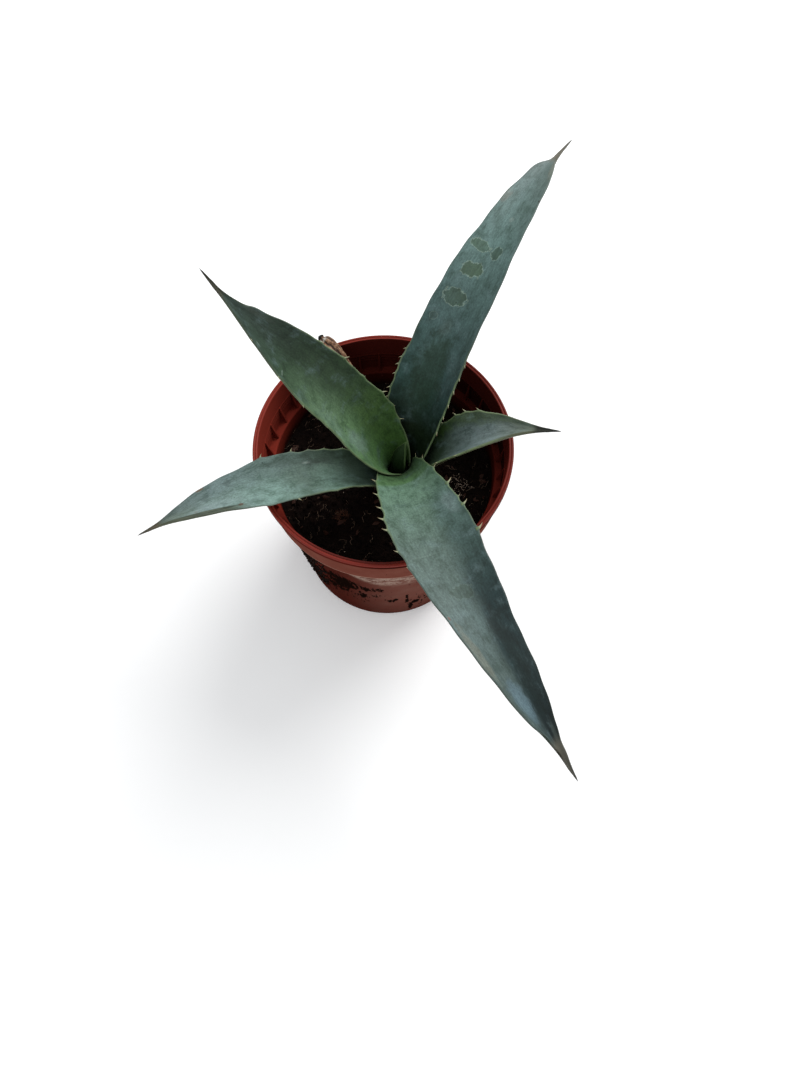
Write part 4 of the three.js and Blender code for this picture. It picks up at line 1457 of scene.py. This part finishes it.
def pot_lip(pot, colour):
    """Painted shade under the bead of the lip and on its inner edge in front."""
    # Painted shade under the bead of the lip.
    painted_bead_shade = pot.step("z", 139, 137.6) * pot.step("out", 74.5, 74.8)
    painted_bead_shade = painted_bead_shade * (pot.step("x", -24, 0) * 0.3 + 0.7)
    # Painted shade on the lip's inner edge in front.
    inner = pot.step("out", 73.5, 73) * pot.step("y", -50, -66) * pot.inside
    return pot.mix(painted_bead_shade + inner * 0.6, colour, paint(50, 17, 13))


# %% Dust and scuffs outside
def pot_dust(pot, colour):
    """Dust over the outside, with painted shade on the left and towards the foot, and paler on the
    collar.
    """
    # Painted light and shade: the wall is lighter to the right and upwards, and darker to the left
    # and at the foot.
    lit = pot.step("x", -34, 10) * (pot.step("z", -10, 50) * 0.6 + 0.4)
    wall = pot.mix(lit, paint(56, 31, 25), paint(118, 84, 74))
    dusty = pot.mix(pot.collar, wall, paint(128, 81, 69))
    dusty = pot.mix(1, dusty, pot.mix(
        pot.blotch, paint(190, 184, 180), paint(255, 255, 255)), "MULTIPLY")
    return pot.mix(pot.outside * (pot.blotch * 0.3 + 0.65), colour, dusty)


def pot_scuffs(pot, colour):
    """A ragged pale band under the collar, mostly in front, and a worn line on its edge."""
    reach = pot.step("x", -32, -4) * (19 * MM) + 13 * MM
    depth = (pot.z * -1 + 111 * MM) / reach + (pot.swirl - 0.5) * 1.3
    band = depth.step(1.1, 0.9) * pot.body * (pot.step("x", -48, -26) * 0.9 + 0.1)
    band = band * (pot.step("y", 20, -20) * 0.85 + 0.15)
    streaks = (pot.swirl - depth * 0.05).step(0.4, 0.54)
    colour = pot.mix(band * (streaks * 0.75 + 0.08), colour, paint(166, 142, 128))
    edge = pot.step("z", 110.6, 110.9) * pot.step("z", 112.4, 111.6) * pot.collar
    return pot.mix(edge * pot.step("x", -66, -50) * 0.8, colour, paint(166, 130, 114))


# %% Mud and grit
# Each patch of mud on the front of the pot: its place in X and Z, its reach in each, its strength.
MUD = ((-52, 62, 7, 30, 1), (-45, 38, 8, 22, 1), (-34, 66, 10, 22, 0.9), (-23, 69, 9, 14, 0.75),
       (-11, 67, 8, 7, 0.75), (-26, 42, 14, 16, 0.5), (-12, 50, 12, 10, 0.45),
       (10.5, 38, 1.8, 18, 1), (13, 18, 2, 16, 1), (1, 39, 5, 7, 0.8), (17, 25, 2.5, 5, 0.7),
       (21, 32, 8, 24, 0.5))
BACK_AWAY = 9
print("patches of mud:", len(MUD))


def pot_mud(pot, colour):
    """Splashes and specks where the patches lie, mould low inside, and pale grit all over."""
    x, y, z = pot.x, pot.y, pot.z
    covered = 0
    for at_x, at_z, wide, high, strength in MUD:
        away = pot.length(pot.vector(
            (x - at_x * MM) / (wide * MM), (y > 0) * BACK_AWAY, (z - at_z * MM) / (high * MM)))
        covered = away.step(1.3, 0.3) * strength + covered
    runs = pot.noise(1, 5, 0.7, pot.vector(x * 230, y * 230, z * 110))
    dots = pot.noise(1, 4, 0.6, pot.vector(x * 620, y * 620, z * 150))
    splash = (runs * 0.6 + dots * 0.4 + covered * 0.22).step(0.635, 0.66)
    specks = (dots + pot.step("x", 10, -60) * 0.05 + covered * 0.09).step(0.66, 0.69)
    colour = pot.mix(specks * pot.body * 0.75, colour, paint(36, 13, 10))
    colour = pot.mix(splash * pot.outside, colour, paint(19, 10, 7))
    mould = (pot.blotch + 0.1).step(0.5, 0.62) * pot.low_inside * pot.step("z", 106, 100)
    colour = pot.mix(mould * 0.7, colour, paint(20, 11, 8))
    return pot.mix(pot.grit.step(0.68, 0.76) * 0.15, colour, paint(160, 112, 98))


# %% The whole plastic
def pot_finish():
    """Red plastic that has been handled: dusty, scuffed at its steps and splashed with soil."""
    pot = PotFinish()
    colour = pot_inside(pot)
    for layer in (pot_lip, pot_dust, pot_scuffs, pot_mud):
        colour = layer(pot, colour)
    rough = 0.46 + pot.blotch * 0.14 + pot.outside * 0.3
    bumps = pot.bump(pot.blotch, 0.25 * MM, 0.4, pot.bump(pot.grit, 0.06 * MM, 0.5))
    return pot.done(
        colour, rough, bumps, Specular_IOR_Level=0.0,
        Coat_Weight=pot.step("z", 138.6, 139.3) * 0.3, Coat_Roughness=0.35, Coat_IOR=1.4)


PLASTIC = pot_finish()
print("plastic:", len(PLASTIC.node_tree.nodes), "nodes")

# %% Turning the pot and drilling it
pot = grown(
    mesh_piece("pot_fine", profile, []), TURNING,
    Segments=ROUND_STEPS, Rib=rib, Ribs=RIBS, Finish=PLASTIC)
drills = []
for number in range(DRAINS):
    bearing = (number + 0.5) * TURN / DRAINS
    place = (DRAIN_CIRCLE * math.cos(bearing), DRAIN_CIRCLE * math.sin(bearing))
    drills.append(turned_solid(
        f"drill_{number}", [(DRAIN_RADIUS, -5), (DRAIN_RADIUS, 8)], 40, place))
cut_by(pot, drills)
point_outwards(pot)
pot.data.shade_smooth()
pot.data.set_sharp_from_angle(angle=math.radians(40))
print("pot:", len(pot.data.polygons), "faces")

# %% [markdown]
# ## The soil
# Potting soil is peat crumbs of every size with rootlets, bits of bark and a few white grains. Its
# body is one closed lump with an uneven top. Grains could be painted on it with bump alone, but
# seen this close peat is a heap of things that cast shadows. What lies on it is strewn by Geometry
# Nodes: one tree does it all, and each time it is given a ground, a shape, a density and a seed.
# Shapes that come in thousands have very few faces.


# %% The soil's body
SOIL_LEVEL = 97
SOIL_SHOULDER = 90
SOIL_OVERLAP = 0.25
SOIL_CLEARANCE = 0.35


def wall_inside(z):
    """The pot's inner radius at a height between its floor and its ledge."""
    foot = BASE - POT_WALL
    return foot + (LEDGE_EDGE - BASE + POT_WALL) * (z - POT_FLOOR) / (
        LEDGE - LEDGE_ROUNDING - POT_FLOOR)


print("inside width at the soil's level:", round(2 * wall_inside(SOIL_LEVEL), 1), "mm")


def soil_height(x, y):
    """The peat's top: broad lumps, finer crumbs, and a rise towards the pot's wall."""
    p = Vector((x, y, 0))
    lumps = noise.fractal(p * 0.085, 0.9, 2.1, 5) * 1.7
    crumbs = abs(noise.noise(p * 0.42)) * 1.6 + abs(noise.noise(p * 1.1 + Vector((7, 3, 1)))) * 0.8
    rim = max(0, math.hypot(x, y) - 56) * 0.16
    return SOIL_LEVEL + 0.4 + lumps + crumbs + rim


def soil_mesh(finish):
    """Rings from the middle of the top outwards, then down inside the pot to its floor."""
    rows = 130
    edge = wall_inside(SOIL_LEVEL) + SOIL_OVERLAP
    rings = []
    for r in edge * np.arange(1, rows + 1) / rows:
        flat = [(r * math.cos(a), r * math.sin(a)) for a in circle(ROUND_STEPS)]
        rings.append([(x, y, soil_height(x, y)) for x, y in flat])
    for z in (SOIL_SHOULDER, POT_FLOOR + GAP):
        r = wall_inside(z) - SOIL_CLEARANCE
        rings.append([(r * math.cos(a), r * math.sin(a), z) for a in circle(ROUND_STEPS)])
    top, bottom = (0, 0, soil_height(0, 0)), (0, 0, POT_FLOOR + GAP)
    return closed_tube("soil_ground", rings, top, bottom, [finish])


# %% Peat
def peat_finish(name, dark, light, rough=0.9):
    """Crumbs from dark to light, with a few paler ones."""
    finish = Finish(name)
    lumps = finish.noise(230, 6, 0.72)
    grains = finish.noise(900, 4, 0.7)
    colour = finish.ramp(lumps * 0.6 + grains * 0.4, [
        (0.36, paint(*dark)), (0.52, paint(*light)), (0.66, paint(*(v * 1.7 for v in light)))])
    return finish.done(colour, rough, finish.bump(lumps + grains * 0.5, 1.2 * MM, 0.9),
                       Specular_IOR_Level=0.06)


soil = soil_mesh(peat_finish("peat", (7, 5, 4), (19, 12, 9)))
print("soil:", len(soil.data.polygons), "faces")


# %% The strewing tree
def strewing_tree():
    """Strews a piece over the upward faces of a shape."""
    garden = Garden(
        "strewn", Piece="Object", Density="Float", Seed="Int", Smallest="Float",
        Largest="Float", Tilt="Float", Lift="Float", Facing="Float", Finish="Material")
    ground, seed, tilt = (garden.given(key) for key in ("Shape", "Seed", "Tilt"))
    facing = garden.axis("Z", garden.node("GeometryNodeInputNormal"))
    spots = garden.node("GeometryNodeDistributePointsOnFaces", None, {
        "Mesh": ground, "Selection": facing > garden.given("Facing"),
        "Density": garden.given("Density"), "Seed": seed})

    def chance(low, high, number):
        return garden.node("FunctionNodeRandomValue", {"data_type": "FLOAT"}, {
            2: low, 3: high, 8: seed + number}, 1)

    turn = garden.vector(
        chance(tilt * -1, tilt, 1), chance(tilt * -1, tilt, 2), chance(0, TURN, 3))
    spots = garden.node("GeometryNodeSetPosition", None, {
        "Geometry": spots, "Offset": garden.vector(0, 0, garden.given("Lift"))})
    piece = garden.node(
        "GeometryNodeObjectInfo", None, {"Object": garden.given("Piece")}, "Geometry")
    strewn = garden.node("GeometryNodeInstanceOnPoints", None, {
        "Points": spots, "Instance": piece, "Rotation": turn,
        "Scale": chance(garden.given("Smallest"), garden.given("Largest"), 4)})
    strewn = garden.node("GeometryNodeRealizeInstances", None, {0: strewn})
    return garden.finish(garden.node("GeometryNodeSetMaterial", None, {
        "Geometry": strewn, "Material": garden.given("Finish")}))


STREWING = strewing_tree()
print("strewing tree:", len(STREWING.nodes), "nodes")


# %% What is strewn
def crumb_mesh(name, seed, flat=1.0, long=1.0):
    """A knobbly grain about 2 mm across, from an icosahedron with its corners moved."""
    shape = bmesh.new()
    bmesh.ops.create_icosphere(shape, subdivisions=1, radius=MM)
    chance = np.random.default_rng(seed)
    for vert in shape.verts:
        vert.co *= chance.uniform(0.6, 1.2)
        vert.co.z *= flat
        vert.co.x *= long
    mesh = bpy.data.meshes.new(name)
    shape.to_mesh(mesh)
    shape.free()
    crumb = bpy.data.objects.new(name, mesh)
    scene.collection.objects.link(crumb)
    return crumb


def fibre_mesh(name, seed, length, radius, wander):
    """A thin rootlet that wanders along X, with its ends drawn in."""
    chance = np.random.default_rng(seed)
    steps, sides = 9, 4
    path = np.cumsum(np.vstack([[0, 0, 0], np.column_stack([
        np.full(steps - 1, length / steps), chance.normal(0, wander, steps - 1),
        chance.normal(0, wander * 0.35, steps - 1)])]), 0)
    path -= path.mean(0)
    points = []
    for k, (x, y, z) in enumerate(path):
        r = radius * (1 if 0 < k < steps - 1 else 0.3)
        points += [(x, y + r * math.cos(a), z + r * math.sin(a)) for a in circle(sides)]
    faces = grid_faces(steps, sides, closed=True)
    faces += [tuple(range(sides))[::-1], tuple(range((steps - 1) * sides, steps * sides))]
    fibre = mesh_piece(name, points, faces)
    point_outwards(fibre)
    return fibre


def plain_grain(name, dark, light):
    """A finish that only wavers between two colours, for small dry things."""
    finish = Finish(name)
    grain = finish.noise(700, 3, 0.6)
    return finish.done(
        finish.mix(grain, paint(*dark), paint(*light)), 0.7, finish.bump(grain, 0.2 * MM, 0.5),
        Specular_IOR_Level=0.2)


CRUMB, ROOTLET, THREAD = (
    crumb_mesh("crumb_a", 1), fibre_mesh("rootlet", 6, 9, 0.12, 0.5),
    fibre_mesh("thread", 8, 5, 0.12, 0.9))
print("faces: crumb", len(CRUMB.data.polygons), "rootlet", len(ROOTLET.data.polygons))


# %% What it is strewn over
def ground_copy(name, piece):
    """The bare shape of a piece, for strewing things over."""
    return mesh_piece(name, [v.co / MM for v in piece.data.vertices],
                      [tuple(p.vertices) for p in piece.data.polygons])


def wall_patch(start, end, low, high):
    """Part of the pot's outer wall, from one bearing to another, narrowing downwards."""
    rows, columns = 12, 40
    points = []
    for z in np.linspace(high, low, rows):
        spread = ((z - low) / (high - low)) ** 0.3
        for share in np.linspace(0, 1, columns):
            a = math.radians(start + (end - start) * (0.5 + (share - 0.5) * spread))
            r = BASE + z * BODY_TAPER + 0.1
            points.append((r * math.cos(a), r * math.sin(a), z))
    return mesh_piece("wall_patch", points, grid_faces(rows, columns))


def round_patch(x, y, radius):
    """A small round of ground, for things that lie together."""
    sides = 12
    points = [(x, y, SOIL_LEVEL + 2)] + [
        (x + radius * math.cos(a), y + radius * math.sin(a), soil_height(x, y))
        for a in circle(sides)]
    faces = [(0, 1 + k, 1 + (k + 1) % sides) for k in range(sides)]
    return mesh_piece("round_patch", points, faces)


BARE_GROUND = ground_copy("bare_ground", soil)
print("bare ground:", len(BARE_GROUND.data.polygons), "faces")

# %% The kinds of things that lie on the soil
KINDS = [
    ("crumbs_small", BARE_GROUND, CRUMB, peat_finish("crumb_dark", (9, 6, 5), (23, 15, 11)),
     dict(Density=95000.0, Smallest=0.35, Largest=0.9, Tilt=3.0, Lift=0.1 * MM)),
    ("crumbs_large", BARE_GROUND, crumb_mesh("crumb_b", 2),
     peat_finish("crumb_peat", (8, 5, 4), (20, 13, 10)),
     dict(Density=22000.0, Smallest=0.9, Largest=2.1, Tilt=3.0, Lift=0.2 * MM)),
    ("bark_chips", BARE_GROUND, crumb_mesh("chip", 4, 0.35, 2.0),
     plain_grain("bark", (34, 18, 12), (66, 38, 27)),
     dict(Density=4600.0, Smallest=0.6, Largest=1.7, Tilt=0.7, Lift=1.0 * MM)),
    ("white_grains", BARE_GROUND, crumb_mesh("grain", 5),
     plain_grain("pumice", (120, 104, 88), (170, 158, 142)),
     dict(Density=1500.0, Smallest=0.25, Largest=0.6, Tilt=3.0, Lift=1.1 * MM)),
    ("rootlets", BARE_GROUND, ROOTLET, plain_grain("root", (92, 72, 58), (150, 128, 108)),
     dict(Density=11000.0, Smallest=0.35, Largest=1.0, Tilt=0.35, Lift=1.4 * MM)),
    ("moss_threads", BARE_GROUND, THREAD,
     plain_grain("thread_brown", (28, 16, 12), (60, 37, 27)),
     dict(Density=26000.0, Smallest=0.4, Largest=1.0, Tilt=0.5, Lift=1.0 * MM)),
    ("moss_clump", round_patch(-27, -26, 4.2), THREAD,
     plain_grain("clump_brown", (74, 44, 32), (122, 80, 60)),
     dict(Density=2400000.0, Smallest=0.3, Largest=0.6, Tilt=1.5, Lift=0.6 * MM)),
    ("hair_roots", round_patch(45, -10.5, 9), fibre_mesh("hair", 9, 6, 0.08, 0.7),
     plain_grain("root_pale", (170, 146, 128), (224, 202, 182)),
     dict(Density=130000.0, Smallest=0.4, Largest=1.0, Tilt=0.9, Lift=1.2 * MM)),
    ("splashes", wall_patch(206, 234, 22, 96), CRUMB,
     peat_finish("mud", (12, 7, 5), (26, 15, 11)),
     dict(Density=120000.0, Smallest=0.3, Largest=1.3, Tilt=3.0, Lift=0.0, Facing=-2.0)),
]
print("kinds:", ", ".join(kind[0] for kind in KINDS))

# %% Strewing them
FIRST_STREWN_SEED = 40
SEED_STEP = 10
strewn = []
for number, (name, ground, piece, finish, sizes) in enumerate(KINDS):
    made = ground_copy(name, ground)
    grown(made, STREWING, Piece=piece, Seed=FIRST_STREWN_SEED + SEED_STEP * number, Finish=finish,
          **{"Facing": 0.2, **sizes})
    strewn.append(made)
    print(name, len(made.data.polygons), "faces")

# %% [markdown]
# ## Handing the pieces over
# Cutters, drills and the things that were copied are no part of the plant. They could be hidden,
# but a hidden thing is soon forgotten in a file, so every helper is removed. Then every piece is
# listed with a finish slot and the solid that it stands for; it is attached to the root, and that
# solid is hidden.

# %% The helpers go
helpers = {*younger, *drills, rib, TOOTH, *(part for kind in KINDS for part in kind[1:3])}
print("helpers removed:", len(helpers))
for helper in helpers:
    bpy.data.objects.remove(helper)

# %% Solids and finishes
HANDED = [
    (pot, "pot_plastic", "pot"), (soil, "soil", "soil"), (stem, "stem", "stem"),
    (spear, "bud", "bud"), (opening, "bud", None), (withered, "dry_leaf", "leaf_withered"),
    *((piece, "soil", None) for piece in strewn),
    *((piece, "leaf_green" if name == "leaf_inner" else "leaf_glaucous", name)
      for name, piece in open_leaves.items()),
]
for piece, slot, node in HANDED:
    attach(piece, "root")
    if node:
        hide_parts(node)
print("pieces:", len(HANDED))
